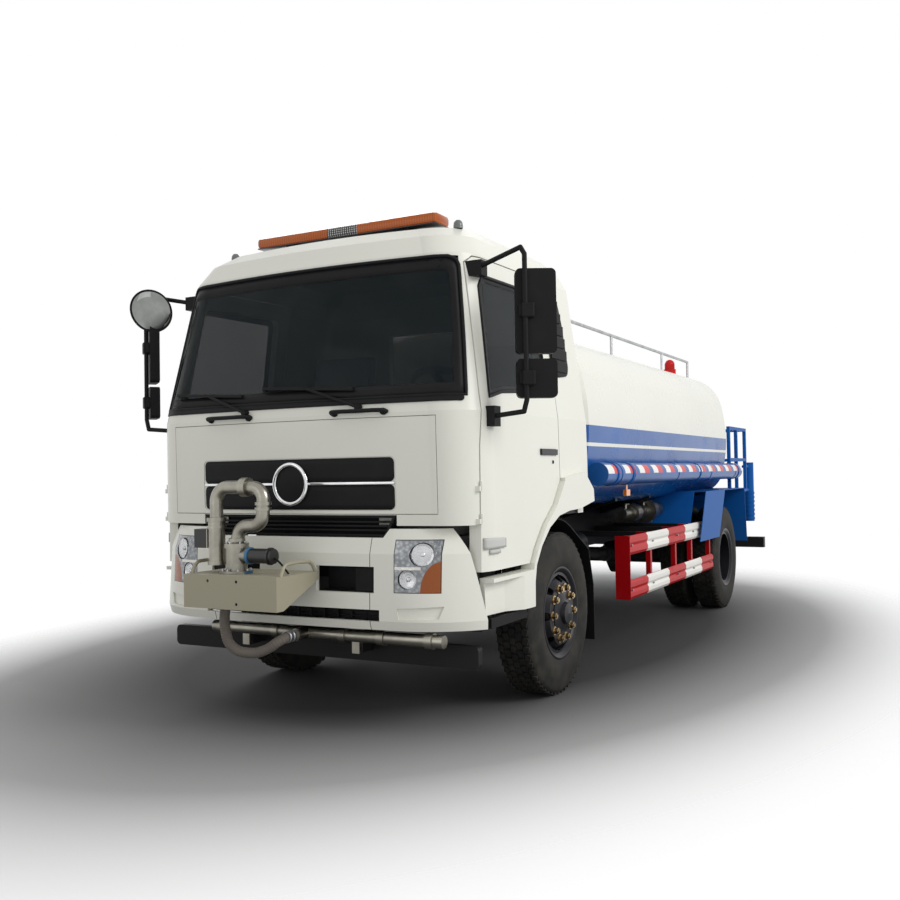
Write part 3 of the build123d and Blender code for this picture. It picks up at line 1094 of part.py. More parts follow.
with BuildPart() as cannon_barrel:
    rod((cannon_x, CANNON_Y + 71.7, CANNON_TOP_Z), (cannon_x, CANNON_Y + 48, CANNON_TOP_Z), pipe + 16)
    with BuildLine() as barrel_line:
        FilletPolyline((cannon_x, CANNON_Y + 60, CANNON_TOP_Z), (cannon_x, CANNON_Y - 145, CANNON_TOP_Z),
                       (cannon_x, CANNON_Y - 145, 1190), radius=85)
    with BuildSketch(Plane(origin=barrel_line.line @ 0, z_dir=barrel_line.line % 0)):
        Circle(pipe)
    sweep()
    rod((cannon_x, CANNON_Y - 145, 1215), (cannon_x, CANNON_Y - 145, 950), BARREL_RADIUS)
    # columns: height of each ring's foot, its thickness, how far it stands out
    for z, thick, out in ((950, 22, 6), (1160, 14, 8), (1200, 20, 8)):
        rod((cannon_x, CANNON_Y - 145, z), (cannon_x, CANNON_Y - 145, z + thick), BARREL_RADIUS + out)
    block((cannon_x - 35, cannon_x + 35), (CANNON_Y - 285, CANNON_Y - 187), (1046, 1154))
write(cannon_barrel.part, "cannon_barrel")

# Feed hose from the tray down to the branch of the spray pipe
HOSE_RADIUS = 30
HOSE_ROUTE = (
    (1680, -250, 890), (1680, -255, 700), (1675, -262, 560), (1640, -215, 450), (1600, -80, 440), (1580, 60, 532),
    (1440.3, 60, 532),
)
with BuildPart() as feed_hose:
    with BuildLine() as hose_line:
        FilletPolyline(*[(ahead(x), y, z) for x, y, z in HOSE_ROUTE], radius=60)
    with BuildSketch(Plane(origin=hose_line.line @ 0, z_dir=hose_line.line % 0)):
        Circle(HOSE_RADIUS)
    sweep()
write(feed_hose.part, "feed_hose")

# Tank: one rounded section, extruded, with bevelled ends


def tank_section(x, grow=0.0):
    """The tank's section across the vehicle, as a face, grown outward by a clearance."""
    # columns: y, z on the left half, from the top down; arcs run through each middle point
    points = ((700, 2484), (935, 2360), (1052, 2125), (1090, 1760), (1050, 1440), (945, 1255), (740, 1188))
    top, corner, shoulder, side, hip, low, keel = points
    with BuildSketch(Plane.YZ.offset(x)) as section:
        with BuildLine():
            ThreePointArc((-top[0], top[1]), (0, TANK_TOP_Z), top)
            ThreePointArc(top, corner, shoulder)
            ThreePointArc(shoulder, side, hip)
            ThreePointArc(hip, low, keel)
            ThreePointArc(keel, (0, TANK_BOTTOM_Z), (-keel[0], keel[1]))
            ThreePointArc((-keel[0], keel[1]), (-low[0], low[1]), (-hip[0], hip[1]))
            ThreePointArc((-hip[0], hip[1]), (-side[0], side[1]), (-shoulder[0], shoulder[1]))
            ThreePointArc((-shoulder[0], shoulder[1]), (-corner[0], corner[1]), (-top[0], top[1]))
        make_face()
        if grow:
            offset(amount=grow)
    return section.sketch


TANK_BOTTOM_Z = 1165
TANK_BEVEL = 26
with BuildPart() as tank:
    middle_front = ahead(-TANK_FRONT - TANK_BEVEL)
    middle_rear = ahead(-TANK_REAR + TANK_BEVEL)
    extrude(tank_section(middle_rear), amount=middle_front - middle_rear)
    extrude(tank_section(middle_front), amount=TANK_BEVEL, taper=45)
    extrude(tank_section(middle_rear), amount=TANK_BEVEL, dir=(-1, 0, 0), taper=45)
write(tank.part, "tank")

with BuildPart() as tank_space:
    extrude(tank_section(ahead(-TANK_REAR - 50), SEAT_CLEARANCE), amount=TANK_REAR - TANK_FRONT + 100)
tank_room = tank_space.part

# Tank cradle: two beams on the frame, with saddles up the tank's sides
# columns: distance behind the axle
SADDLES = (900, 1850, 2800, 3750, TANK_REAR - 180)
SADDLE_THICKNESS = 50
SADDLE_HALF = 900
with BuildPart() as tank_cradle:
    for side in (-1, 1):
        y = side * (FRAME_HALF_WIDTH - SUBFRAME_WIDTH / 2)
        block((ahead(-PLATFORM_REAR + 60), ahead(-TANK_FRONT - 40)), (y - SUBFRAME_WIDTH / 2, y + SUBFRAME_WIDTH / 2),
              (FRAME_TOP + SEAT_CLEARANCE, subframe_top))
    for place in SADDLES:
        x = ahead(-place)
        with BuildSketch(Plane.YZ.offset(x - SADDLE_THICKNESS / 2)):
            with BuildLine():
                Polyline((-SADDLE_HALF, 1330), (-SADDLE_HALF, 1200), (-440, 1060), (440, 1060), (SADDLE_HALF, 1200),
                         (SADDLE_HALF, 1330), close=True)
            make_face()
        extrude(amount=SADDLE_THICKNESS)
    add(tank_room, mode=Mode.SUBTRACT)
write(tank_cradle.part, "tank_cradle")

# Hose tubes along the tank's sides, with clamp bands on brackets
# columns: distance behind the axle
BANDS = (1020, 1330, 2600, 3800, TANK_REAR - 230)
BAND_WIDTH = 60
with BuildPart() as hose_tubes:
    for side in (-1, 1):
        y = side * TUBE_Y
        rod((ahead(-TANK_REAR - 95), y, TUBE_Z), (ahead(-TANK_FRONT - 20), y, TUBE_Z), TUBE_RADIUS)
        for place in BANDS:
            rod((ahead(-place - BAND_WIDTH), y, TUBE_Z), (ahead(-place), y, TUBE_Z), TUBE_RADIUS + 4)
            inner = sorted((side * 980, y))
            block((ahead(-place - BAND_WIDTH), ahead(-place)), inner, (TUBE_Z - 40, TUBE_Z + 40))
    add(tank_room, mode=Mode.SUBTRACT)
write(hose_tubes.part, "hose_tubes")

# Manhole on the tank: a collar and a hinged lid
MANHOLE_AHEAD = -1900
MANHOLE_RADIUS = 250
COLLAR_WALL = 14
COLLAR_TOP = 2700
LID_PIN_RADIUS = 10
LID_HINGE_REACH = 292
manhole_x = ahead(MANHOLE_AHEAD)
lid_pin_x = manhole_x - LID_HINGE_REACH
lid_pin_z = COLLAR_TOP + 8
with BuildPart() as manhole_collar:
    rod((manhole_x, 0, TANK_TOP_Z - 40), (manhole_x, 0, COLLAR_TOP), MANHOLE_RADIUS)
    rod((manhole_x, 0, TANK_TOP_Z - 41), (manhole_x, 0, COLLAR_TOP + 1), MANHOLE_RADIUS - COLLAR_WALL, mode=Mode.SUBTRACT)
    for side in (-1, 1):
        y = sorted((side * 34, side * 50))
        block((lid_pin_x - 18, manhole_x - MANHOLE_RADIUS + 10), y, (COLLAR_TOP - 60, lid_pin_z + 18))
    rod((lid_pin_x, -50, lid_pin_z), (lid_pin_x, 50, lid_pin_z), LID_PIN_RADIUS)
    add(tank_room, mode=Mode.SUBTRACT)
write(manhole_collar.part, "manhole_collar")

with BuildPart() as manhole_lid:
    rod((manhole_x, 0, COLLAR_TOP + SEAT_CLEARANCE), (manhole_x, 0, COLLAR_TOP + 16), MANHOLE_RADIUS + 10)
    for side in (-1, 1):
        y = sorted((side * 30, side * 58))
        block((manhole_x - MANHOLE_RADIUS - 12, manhole_x - MANHOLE_RADIUS + 40), y, (COLLAR_TOP - 62, COLLAR_TOP + 20),
              mode=Mode.SUBTRACT)
    block((lid_pin_x, manhole_x - MANHOLE_RADIUS + 40), (-28, 28), (COLLAR_TOP + SEAT_CLEARANCE, COLLAR_TOP + 16))
    rod((lid_pin_x, -30, lid_pin_z), (lid_pin_x, 30, lid_pin_z), LID_PIN_RADIUS + 9)
    rod((lid_pin_x, -31, lid_pin_z), (lid_pin_x, 31, lid_pin_z), LID_PIN_RADIUS + BEARING_CLEARANCE, mode=Mode.SUBTRACT)
    for x in (-60, 60):
        rod((manhole_x + 120, x, COLLAR_TOP + 10), (manhole_x + 120, x, COLLAR_TOP + 60), 8)
    rod((manhole_x + 120, -68, COLLAR_TOP + 60), (manhole_x + 120, 68, COLLAR_TOP + 60), 8)
write(manhole_lid.part, "manhole_lid")

# Handrail along the tank's left shoulder
RAIL_Y = 680
RAIL_Z = 2672
RAIL_RADIUS = 14
# columns: distance behind the axle
RAIL_POSTS = (950, 2450, 4050, TANK_REAR - 50)
with BuildPart() as tank_rail:
    rod((ahead(-RAIL_POSTS[0]), RAIL_Y, RAIL_Z), (ahead(-RAIL_POSTS[-1]), RAIL_Y, RAIL_Z), RAIL_RADIUS)
    for place in RAIL_POSTS:
        rod((ahead(-place), RAIL_Y, TANK_TOP_Z - 160), (ahead(-place), RAIL_Y, RAIL_Z), RAIL_RADIUS - 1)
    add(tank_room, mode=Mode.SUBTRACT)
write(tank_rail.part, "tank_rail")

BEACON_RADIUS = 56
with BuildPart() as beacon:
    beacon_x = ahead(-TANK_REAR + 130)
    dome_z = TANK_TOP_Z + 126 - BEACON_RADIUS
    rod((beacon_x, 500, TANK_TOP_Z - 80), (beacon_x, 500, TANK_TOP_Z + 14), BEACON_RADIUS + 12)
    rod((beacon_x, 500, TANK_TOP_Z - 80), (beacon_x, 500, dome_z), BEACON_RADIUS)
    with Locations((beacon_x, 500, dome_z)):
        Sphere(BEACON_RADIUS)
    add(tank_room, mode=Mode.SUBTRACT)
write(beacon.part, "beacon")

# Rear mudguards: folded sheet over the twin tyres with a skirt in front, on arms from the cradle
GUARD_INNER_Y = 602
GUARD_OUTER_Y = 1236
GUARD_PLATE_Y = 1120
GUARD_WALL = 6
GUARD_TOP_Z = 1240
# distances ahead of the rear axle: the top's front and rear, the rear wall's foot, the front plate's
# foot, and the skirt's lower rear corner
GUARD_TOP_FRONT = 960
GUARD_TOP_REAR = -810
GUARD_FOOT_REAR = -900
GUARD_FOOT_FRONT = 1210
GUARD_SKIRT_REAR = 440


def past_rear(distance):
    """x of a place this far in front of the rear axle, or behind it where negative."""
    return rear_axle_x + distance


with BuildPart() as mudguards_rear:
    for side in (-1, 1):
        with BuildSketch(Plane.XZ.offset(-side * GUARD_INNER_Y)):
            with BuildLine():
                Polyline(
                    (past_rear(GUARD_TOP_FRONT), GUARD_TOP_Z), (past_rear(GUARD_TOP_REAR), GUARD_TOP_Z),
                    (past_rear(GUARD_FOOT_REAR), 640), (past_rear(GUARD_FOOT_REAR + GUARD_WALL), 640),
                    (past_rear(GUARD_TOP_REAR + GUARD_WALL), GUARD_TOP_Z - GUARD_WALL),
                    (past_rear(GUARD_TOP_FRONT), GUARD_TOP_Z - GUARD_WALL), close=True)
            make_face()
        extrude(amount=-side * (GUARD_OUTER_Y - GUARD_INNER_Y))
        # the front plate stays inside the side guard's rails
        with BuildSketch(Plane.XZ.offset(-side * GUARD_INNER_Y)):
            with BuildLine():
                Polyline((past_rear(GUARD_FOOT_FRONT), 790), (past_rear(GUARD_TOP_FRONT), GUARD_TOP_Z),
                         (past_rear(GUARD_TOP_FRONT - 10), GUARD_TOP_Z),
                         (past_rear(GUARD_TOP_FRONT - 10), GUARD_TOP_Z - GUARD_WALL),
                         (past_rear(GUARD_FOOT_FRONT - 7), 790), close=True)
            make_face()
        extrude(amount=-side * (GUARD_PLATE_Y - GUARD_INNER_Y))
        with BuildSketch(Plane.XZ.offset(-side * (GUARD_OUTER_Y - 5))):
            with BuildLine():
                Polyline((past_rear(GUARD_FOOT_FRONT), 790), (past_rear(GUARD_TOP_FRONT), GUARD_TOP_Z),
                         (past_rear(150), GUARD_TOP_Z), (past_rear(GUARD_SKIRT_REAR), 770),
                         (past_rear(GUARD_FOOT_FRONT + 10), 770), close=True)
            make_face()
        extrude(amount=-side * 5)
        for place in (860, -720):
            y = sorted((side * (FRAME_HALF_WIDTH + SEAT_CLEARANCE), side * 1000))
            block((past_rear(place - 12), past_rear(place)), y, (1090, 1150))
            y = sorted((side * 955, side * 1000))
            block((past_rear(place - 12), past_rear(place)), y, (1090, GUARD_TOP_Z - 3))
    add(tank_room, mode=Mode.SUBTRACT)
write(mudguards_rear.part, "mudguards_rear")

# Side guards: corrugated rails on posts, with arms to the frame
GUARD_FRONT = 1282
GUARD_REAR = WHEELBASE - TYRE_RADIUS - 29
SIDE_Y = 1194
# columns: rail's lowest height, highest height
GUARD_RAILS = ((458, 606), (800, 948))
# columns: distance behind the axle
GUARD_POSTS = (1330, 1900, 2650, 3200, GUARD_REAR - 44)
# columns: side, distance behind the axle of each arm
GUARD_ARMS = ((1, (1900, 2650, 3200)), (-1, (1330, 2650, 3200)))
with BuildPart() as side_guards:
    for side in (-1, 1):
        for low_z, high_z in GUARD_RAILS:
            quarter = (high_z - low_z) / 4
            outer_y = side * SIDE_Y
            inner_y = side * (SIDE_Y - 16)
            with BuildSketch(Plane.YZ.offset(ahead(-GUARD_REAR))):
                with BuildLine():
                    Polyline(
                        (inner_y, low_z), (outer_y, low_z + quarter * 0.6), (outer_y, low_z + quarter * 1.4),
                        (inner_y + side * 6, low_z + quarter * 2), (outer_y, low_z + quarter * 2.6),
                        (outer_y, low_z + quarter * 3.4), (inner_y, high_z), (inner_y - side * 6, high_z),
                        (inner_y - side * 6, low_z), close=True)
                make_face()
            extrude(amount=GUARD_REAR - GUARD_FRONT)
        y = sorted((side * (SIDE_Y - 22 - 40), side * (SIDE_Y - 22)))
        for place in GUARD_POSTS:
            block((ahead(-place - 20), ahead(-place + 20)), y, (GUARD_RAILS[0][0], GUARD_RAILS[1][1]))
        y = sorted((side * (SIDE_Y - 120), side * SIDE_Y))
        block((ahead(-GUARD_FRONT), ahead(-GUARD_FRONT + 6)), y, (GUARD_RAILS[0][0], GUARD_RAILS[1][1]))
    for side, places in GUARD_ARMS:
        y = sorted((side * (FRAME_HALF_WIDTH + SEAT_CLEARANCE), side * (SIDE_Y - 30)))
        for place in places:
            block((ahead(-place - 20), ahead(-place + 20)), y, (900, 945))
write(side_guards.part, "side_guards")

# Tanks on the frame, with their straps: air on the left, fuel on the right
AIR_TANK_RADIUS = 118
with BuildPart() as air_tanks:
    for z in (590, 850):
        rod((ahead(-1560), 640, z), (ahead(-880), 640, z), AIR_TANK_RADIUS)
        for place in (1000, 1440):
            rod((ahead(-place - 17), 640, z), (ahead(-place + 17), 640, z), AIR_TANK_RADIUS + 4)
        for place in (1000, 1440):
            block((ahead(-place - 20), ahead(-place + 20)), (FRAME_HALF_WIDTH + SEAT_CLEARANCE, 640), (z - 30, z + 30))
    for place in (1000, 1440):
        block((ahead(-place - 20), ahead(-place + 20)), (FRAME_HALF_WIDTH + SEAT_CLEARANCE, 500), (590, 850))
write(air_tanks.part, "air_tanks")

with BuildPart() as fuel_tank:
    with BuildSketch(Plane.YZ.offset(ahead(-2480))):
        with Locations((-790, 690)):
            RectangleRounded(560, 520, 70)
    extrude(amount=1020)
    for place in (1640, 2290):
        with BuildSketch(Plane.YZ.offset(ahead(-place - 25))):
            with Locations((-790, 690)):
                RectangleRounded(570, 530, 75)
        extrude(amount=50)
        block((ahead(-place - 25), ahead(-place + 25)), (-700, -FRAME_HALF_WIDTH - SEAT_CLEARANCE), (800, 990))
    rod((ahead(-1950), -900, 900), (ahead(-1950), -900, 985), 48)
write(fuel_tank.part, "fuel_tank")

# Water pump with its valves, on a bracket beside the frame
PUMP_Y = 800
PUMP_Z = 1075
with BuildPart() as water_pump:
    rod((ahead(-3400), PUMP_Y, PUMP_Z), (ahead(-2300), PUMP_Y, PUMP_Z), 42)
    for place, radius in ((2600, 78), (3050, 100), (3280, 72)):
        rod((ahead(-place - 60), PUMP_Y, PUMP_Z), (ahead(-place + 60), PUMP_Y, PUMP_Z), radius)
    # a flange on each side of the pump, and a valve lever before and behind it
    for place in (2480, 2520, 2800, 2840, 3160, 3350):
        rod((ahead(-place - 9), PUMP_Y, PUMP_Z), (ahead(-place + 9), PUMP_Y, PUMP_Z), 62)
    for place in (2390, 2920):
        rod((ahead(-place), PUMP_Y, PUMP_Z), (ahead(-place), PUMP_Y, PUMP_Z + 78), 12)
        rod((ahead(-place - 90), PUMP_Y, PUMP_Z + 78), (ahead(-place + 15), PUMP_Y, PUMP_Z + 78), 9)
    block((ahead(-3080), ahead(-3020)), (FRAME_HALF_WIDTH + SEAT_CLEARANCE, PUMP_Y), (960, 1010))
    block((ahead(-3080), ahead(-3020)), (PUMP_Y - 40, PUMP_Y + 40), (960, PUMP_Z))
write(water_pump.part, "water_pump")

# Rear platform with its railing, the ladder and the blue hose pole
PLATFORM_FRONT = TANK_REAR + 30
POST = 36
# columns: distance behind the axle of each post on the side
SIDE_POSTS = (TANK_REAR + 134, TANK_REAR + 510, PLATFORM_REAR - POST / 2)
LADDER_HALF = 210
WIDE_DECK_FRONT = TANK_REAR + 200
POLE_BEHIND = PLATFORM_REAR + 310
with BuildPart() as rear_platform:
    block((ahead(-PLATFORM_REAR), ahead(-PLATFORM_FRONT)), (-GUARD_INNER_Y + 10, GUARD_INNER_Y - 10),
          (PLATFORM_Z - 30, PLATFORM_Z))
    block((ahead(-PLATFORM_REAR), ahead(-WIDE_DECK_FRONT)), (-PLATFORM_HALF_WIDTH, PLATFORM_HALF_WIDTH),
          (PLATFORM_Z - 30, PLATFORM_Z))
    for side in (-1, 1):
        y = side * (FRAME_HALF_WIDTH - SUBFRAME_WIDTH / 2)
        for place in (TANK_REAR + 170, TANK_REAR + 570, PLATFORM_REAR - 130):
            block((ahead(-place - 30), ahead(-place + 30)), (y - 40, y + 40), (subframe_top + SEAT_CLEARANCE, PLATFORM_Z - 20))
        y = side * (PLATFORM_HALF_WIDTH - POST / 2)
        for place in SIDE_POSTS:
            foot_z = GUARD_TOP_Z + SEAT_CLEARANCE if place < WIDE_DECK_FRONT else PLATFORM_Z - 10
            block((ahead(-place - POST / 2), ahead(-place + POST / 2)), (y - POST / 2, y + POST / 2),
                  (foot_z, RAIL_TOP_Z))
        for z in (1560, RAIL_TOP_Z - POST / 2):
            block((ahead(-SIDE_POSTS[-1] - POST / 2), ahead(-SIDE_POSTS[0] + POST / 2)), (y - POST / 2, y + POST / 2),
                  (z - POST / 2, z + POST / 2))
            rear_rail = sorted((side * (LADDER_HALF + 20), y))
            block((ahead(-SIDE_POSTS[-1] - POST / 2), ahead(-SIDE_POSTS[-1] + POST / 2)), rear_rail,
                  (z - POST / 2, z + POST / 2))
        y = side * (LADDER_HALF + 20 + POST / 2)
        block((ahead(-SIDE_POSTS[-1] - POST / 2), ahead(-SIDE_POSTS[-1] + POST / 2)), (y - POST / 2, y + POST / 2),
              (PLATFORM_Z - 10, RAIL_TOP_Z))
        # ladder stringers down from the platform's rear edge
        y = side * LADDER_HALF
        block((ahead(-PLATFORM_REAR - 40), ahead(-PLATFORM_REAR)), (y - 18, y + 18), (640, PLATFORM_Z))
    for z in (680, 940, 1180):
        rod((ahead(-PLATFORM_REAR - 20), -LADDER_HALF, z), (ahead(-PLATFORM_REAR - 20), LADDER_HALF, z), 16)
    rod((ahead(-POLE_BEHIND), 1060, 810), (ahead(-POLE_BEHIND), 1060, 1530), 57)
    for number in range(7):
        z = 830 + number * 52
        rod((ahead(-POLE_BEHIND), 1060, z), (ahead(-POLE_BEHIND), 1060, z + 26), 63)
    for z in (1195, 1480):
        rod((ahead(-POLE_BEHIND), 1060, z), (ahead(-PLATFORM_REAR + 10), 1060, z), 18)
write(rear_platform.part, "rear_platform")

# Rear bumper on two brackets below the frame
BUMPER_BEHIND = FRAME_REAR + 180
with BuildPart() as rear_bumper:
    block((ahead(-BUMPER_BEHIND - 90), ahead(-BUMPER_BEHIND)), (-1190, 1190), (474, 602))
    for side in (-1, 1):
        y = side * (FRAME_HALF_WIDTH - FRAME_FLANGE / 2)
        block((ahead(-BUMPER_BEHIND - 20), ahead(-BUMPER_BEHIND + 40)), (y - 35, y + 35), (500, frame_bottom - 5))
        block((ahead(-BUMPER_BEHIND - 20), ahead(-FRAME_REAR + 120)), (y - 35, y + 35), (frame_bottom - 45, frame_bottom - SEAT_CLEARANCE))
write(rear_bumper.part, "rear_bumper")

# Lamps low on the vehicle: tail lamps on the rear bumper, and an amber one below each hose tube's front
# columns: distance to the side of the tail lamps' middle, width, height
TAIL_LAMPS = ((1040, 230, 84),)
with BuildPart() as low_lamps:
    for side in (-1, 1):
        for y, width, height in TAIL_LAMPS:
            block((ahead(-BUMPER_BEHIND - 90 - 24), ahead(-BUMPER_BEHIND - 90) - SEAT_CLEARANCE),
                  (side * y - width / 2, side * y + width / 2), (538 - height / 2, 538 + height / 2))
        place = BANDS[1] + BAND_WIDTH / 2
        top = TUBE_Z - TUBE_RADIUS - 4 - SEAT_CLEARANCE
        y = side * TUBE_Y
        block((ahead(-place - 16), ahead(-place + 16)), (y - 3, y + 3), (top - 40, top))
        block((ahead(-place - 45), ahead(-place + 45)), (y - 14, y + 14), (top - 84, top - 36))
write(low_lamps.part, "low_lamps")

# Wipers: pivots on the cowl with an arm each, and blades that lie along the windscreen
WIPER_RADIUS = 9
PIVOT_Z = 1838
BLADE_HEIGHT = 18
BLADE_DEPTH = 16
# columns: pivot's y, blade's start y and z, blade's end y and z
WIPERS = ((-330, -380, 1936, -960, 1972), (480, 430, 1936, -220, 1972))


def cowl_ahead(y, z):
    """How far ahead of the axle the cab's front lies at a place below the windscreen's middle."""
    low_z, low_front = CAB_STATIONS[1][:2]
    high_z, high_front = CAB_STATIONS[2][:2]
    return low_front + (high_front - low_front) * (z - low_z) / (high_z - low_z) - FRONT_SAGITTA * (y / 905) ** 2


with BuildPart() as blades:
    add(cab_solid(-BLADE_DEPTH))
    add(cab_solid(GLASS_INSET - SEAT_CLEARANCE), mode=Mode.SUBTRACT)
    with BuildSketch(Plane.YZ.offset(ahead(1100))):
        for pivot_y, start_y, start_z, end_y, end_z in WIPERS:
            with BuildLine():
                Polyline((start_y, start_z), (start_y, start_z + BLADE_HEIGHT), (end_y, end_z + BLADE_HEIGHT),
                         (end_y, end_z), close=True)
            make_face()
    extrude(amount=400, mode=Mode.INTERSECT)

with BuildPart() as wipers:
    for pivot_y, start_y, start_z, end_y, end_z in WIPERS:
        pivot_x = ahead(cowl_ahead(pivot_y, PIVOT_Z))
        rod((pivot_x - 30, pivot_y, PIVOT_Z), (pivot_x + 40, pivot_y, PIVOT_Z), 16)
        hold_y = (start_y + end_y) / 2
        hold_z = (start_z + end_z + BLADE_HEIGHT) / 2
        rod((pivot_x + 30, pivot_y, PIVOT_Z), (ahead(cowl_ahead(hold_y, hold_z) + BLADE_DEPTH), hold_y, hold_z),
            WIPER_RADIUS)
    add(cab_solid(-SEAT_CLEARANCE), mode=Mode.SUBTRACT)
    add(blades.part)
write(wipers.part, "wipers")
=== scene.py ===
"""The looks of a water tanker truck: camera, light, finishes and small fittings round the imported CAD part."""

import math

import bmesh
import bpy
from mathutils import Matrix, Vector
from mathutils.bvhtree import BVHTree


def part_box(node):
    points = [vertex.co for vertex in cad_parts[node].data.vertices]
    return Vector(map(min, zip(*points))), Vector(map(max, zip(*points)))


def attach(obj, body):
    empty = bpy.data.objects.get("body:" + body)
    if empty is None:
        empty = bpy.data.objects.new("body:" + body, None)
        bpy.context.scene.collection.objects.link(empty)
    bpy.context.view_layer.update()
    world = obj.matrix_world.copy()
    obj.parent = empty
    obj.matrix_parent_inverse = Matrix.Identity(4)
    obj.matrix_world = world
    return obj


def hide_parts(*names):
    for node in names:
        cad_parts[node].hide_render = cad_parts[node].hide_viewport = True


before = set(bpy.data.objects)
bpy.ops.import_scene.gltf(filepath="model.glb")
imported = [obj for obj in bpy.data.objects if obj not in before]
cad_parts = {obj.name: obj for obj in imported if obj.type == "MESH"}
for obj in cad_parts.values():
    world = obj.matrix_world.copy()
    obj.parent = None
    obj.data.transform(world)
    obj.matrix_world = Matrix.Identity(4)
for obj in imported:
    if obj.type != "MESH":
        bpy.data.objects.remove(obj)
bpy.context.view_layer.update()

# The sign of Y on each side, with the side's name
SIDES = ((1, "left"), (-1, "right"))

# Places and sizes, in metres: +X forward, +Y to the truck's left, +Z up
FRONT_AXLE_X = 2.450
REAR_AXLE_X = -2.050
TYRE_RADIUS = 0.527
TYRE_WIDTH = 0.275
TREAD_DEPTH = 0.013
RIM_RADIUS = 0.254
# a rolled lip's section, as (radius, distance from the tyre's middle)
RIM_LIP = ((0.2555, 0.086), (0.2555, 0.096), (0.270, 0.108), (0.284, 0.121), (0.294, 0.1245), (0.302, 0.122),
           (0.304, 0.116), (0.290, 0.108))
FRONT_WHEEL_Y = 1.011
REAR_WHEEL_YS = (1.073, 0.753)
NUT_CIRCLE = 0.1675
NUT_RADIUS = 0.0225
FRONT_DISC_Y = 1.136
REAR_DISC_Y = 0.926
BLUE_TOP_Z = 1.79
LINE_Z = (1.636, 1.662)
# the rails' white bands along X, and the heights of the rails
GUARD_BANDS = ((0.090, 0.705), (-1.045, -0.457))
GUARD_RAILS = ((0.458, 0.606), (0.800, 0.948))
# the hose tubes, and the tape on them: where it starts, one white and one red square with a gap, its height
TUBE_Y, TUBE_Z, TUBE_RADIUS = 1.150, 1.430, 0.084
TAPE_START_X = 1.745
TAPE_PERIOD = 0.372
TAPE_SQUARE = 0.135
TAPE_Z = (1.432, 1.497)
BUMPER_SEAM_Y = 0.560
# headlamp: its lower outer corner, the amber part's size, the clear part's limits and the shelf between
# the bowls
LAMP_OUTER_Y = 0.971
LAMP_LOW_Z = 0.797
AMBER_WIDTH, AMBER_HEIGHT = 0.108, 0.172
LAMP_CLEAR_Y = (0.7155, 0.966)
LAMP_CLEAR_Z = (0.8015, 1.0855)
LAMP_SHELF_Z = (0.925, 0.941)
# light bar: the top of its black base, and its middle's half width
BAR_BASE_Z = 2.992
BAR_MIDDLE_Y = 0.115
# second colours: door handle, bumper seam, motor and band on the cannon's valve, switch box, pipe hangers
HANDLE_X, HANDLE_Z, HANDLE_OUT_Y = (2.576, 2.844), (1.5575, 1.5985), 1.1665
MOTOR_Y = (-0.085, -0.060)
SWITCH_BOX_Y = -0.3625
HANGER_FRONT_X, HANGER_HALF_Y, HANGER_TOP_Z = 3.742, 0.5, 0.513
# where rays towards the truck start: ahead of it, beside it and above it
AHEAD_X, BESIDE_Y, ABOVE_Z = 6, 3, 5

# Colours that several finishes share
WHITE = (0.79, 0.79, 0.715)
BLUE = (0.006, 0.098, 0.36)
DARK = (0.012, 0.012, 0.013)
STEEL = (0.33, 0.315, 0.27)
DUST = (0.36, 0.33, 0.28)

# Node maths


def maths_method(operation, reflected=False):
    """A method that adds a Math node for an operation, with its own value first, or second if reflected."""
    def method(self, other):
        return self.maths(operation, other, self) if reflected else self.maths(operation, self, other)
    return method


class Value:
    """A socket of a node tree; arithmetic on it adds Math nodes, and | takes the larger."""

    def __init__(self, maker, socket):
        self.maker = maker
        self.socket = socket

    def maths(self, operation, first, second=None):
        return self.maker.node("ShaderNodeMath", {"operation": operation}, [first, second])

    __add__ = maths_method("ADD")
    __radd__ = maths_method("ADD", reflected=True)
    __sub__ = maths_method("SUBTRACT")
    __rsub__ = maths_method("SUBTRACT", reflected=True)
    __mul__ = maths_method("MULTIPLY")
    __rmul__ = maths_method("MULTIPLY", reflected=True)
    __truediv__ = maths_method("DIVIDE")
    __gt__ = maths_method("GREATER_THAN")
    __lt__ = maths_method("LESS_THAN")
    __mod__ = maths_method("FLOORED_MODULO")
    __or__ = maths_method("MAXIMUM")

    def size(self):
        return self.maths("ABSOLUTE", self)

    def within(self, low, high):
        """1 between two limits and 0 elsewhere."""
        return (self > low) * (self < high)


class Maker:
    """Adds nodes to a tree, in a row, and returns their first output as a Value."""

    def __init__(self, tree):
        self.tree = tree

    def node(self, kind, settings=None, sockets=(), output=0):
        made = self.tree.nodes.new(kind)
        for name, setting in (settings or {}).items():
            setattr(made, name, setting)
        pairs = sockets.items() if isinstance(sockets, dict) else enumerate(sockets)
        for key, value in pairs:
            if value is None:
                continue
            if isinstance(value, Value):
                self.tree.links.new(value.socket, made.inputs[key])
            else:
                made.inputs[key].default_value = value
        return Value(self, made.outputs[output])


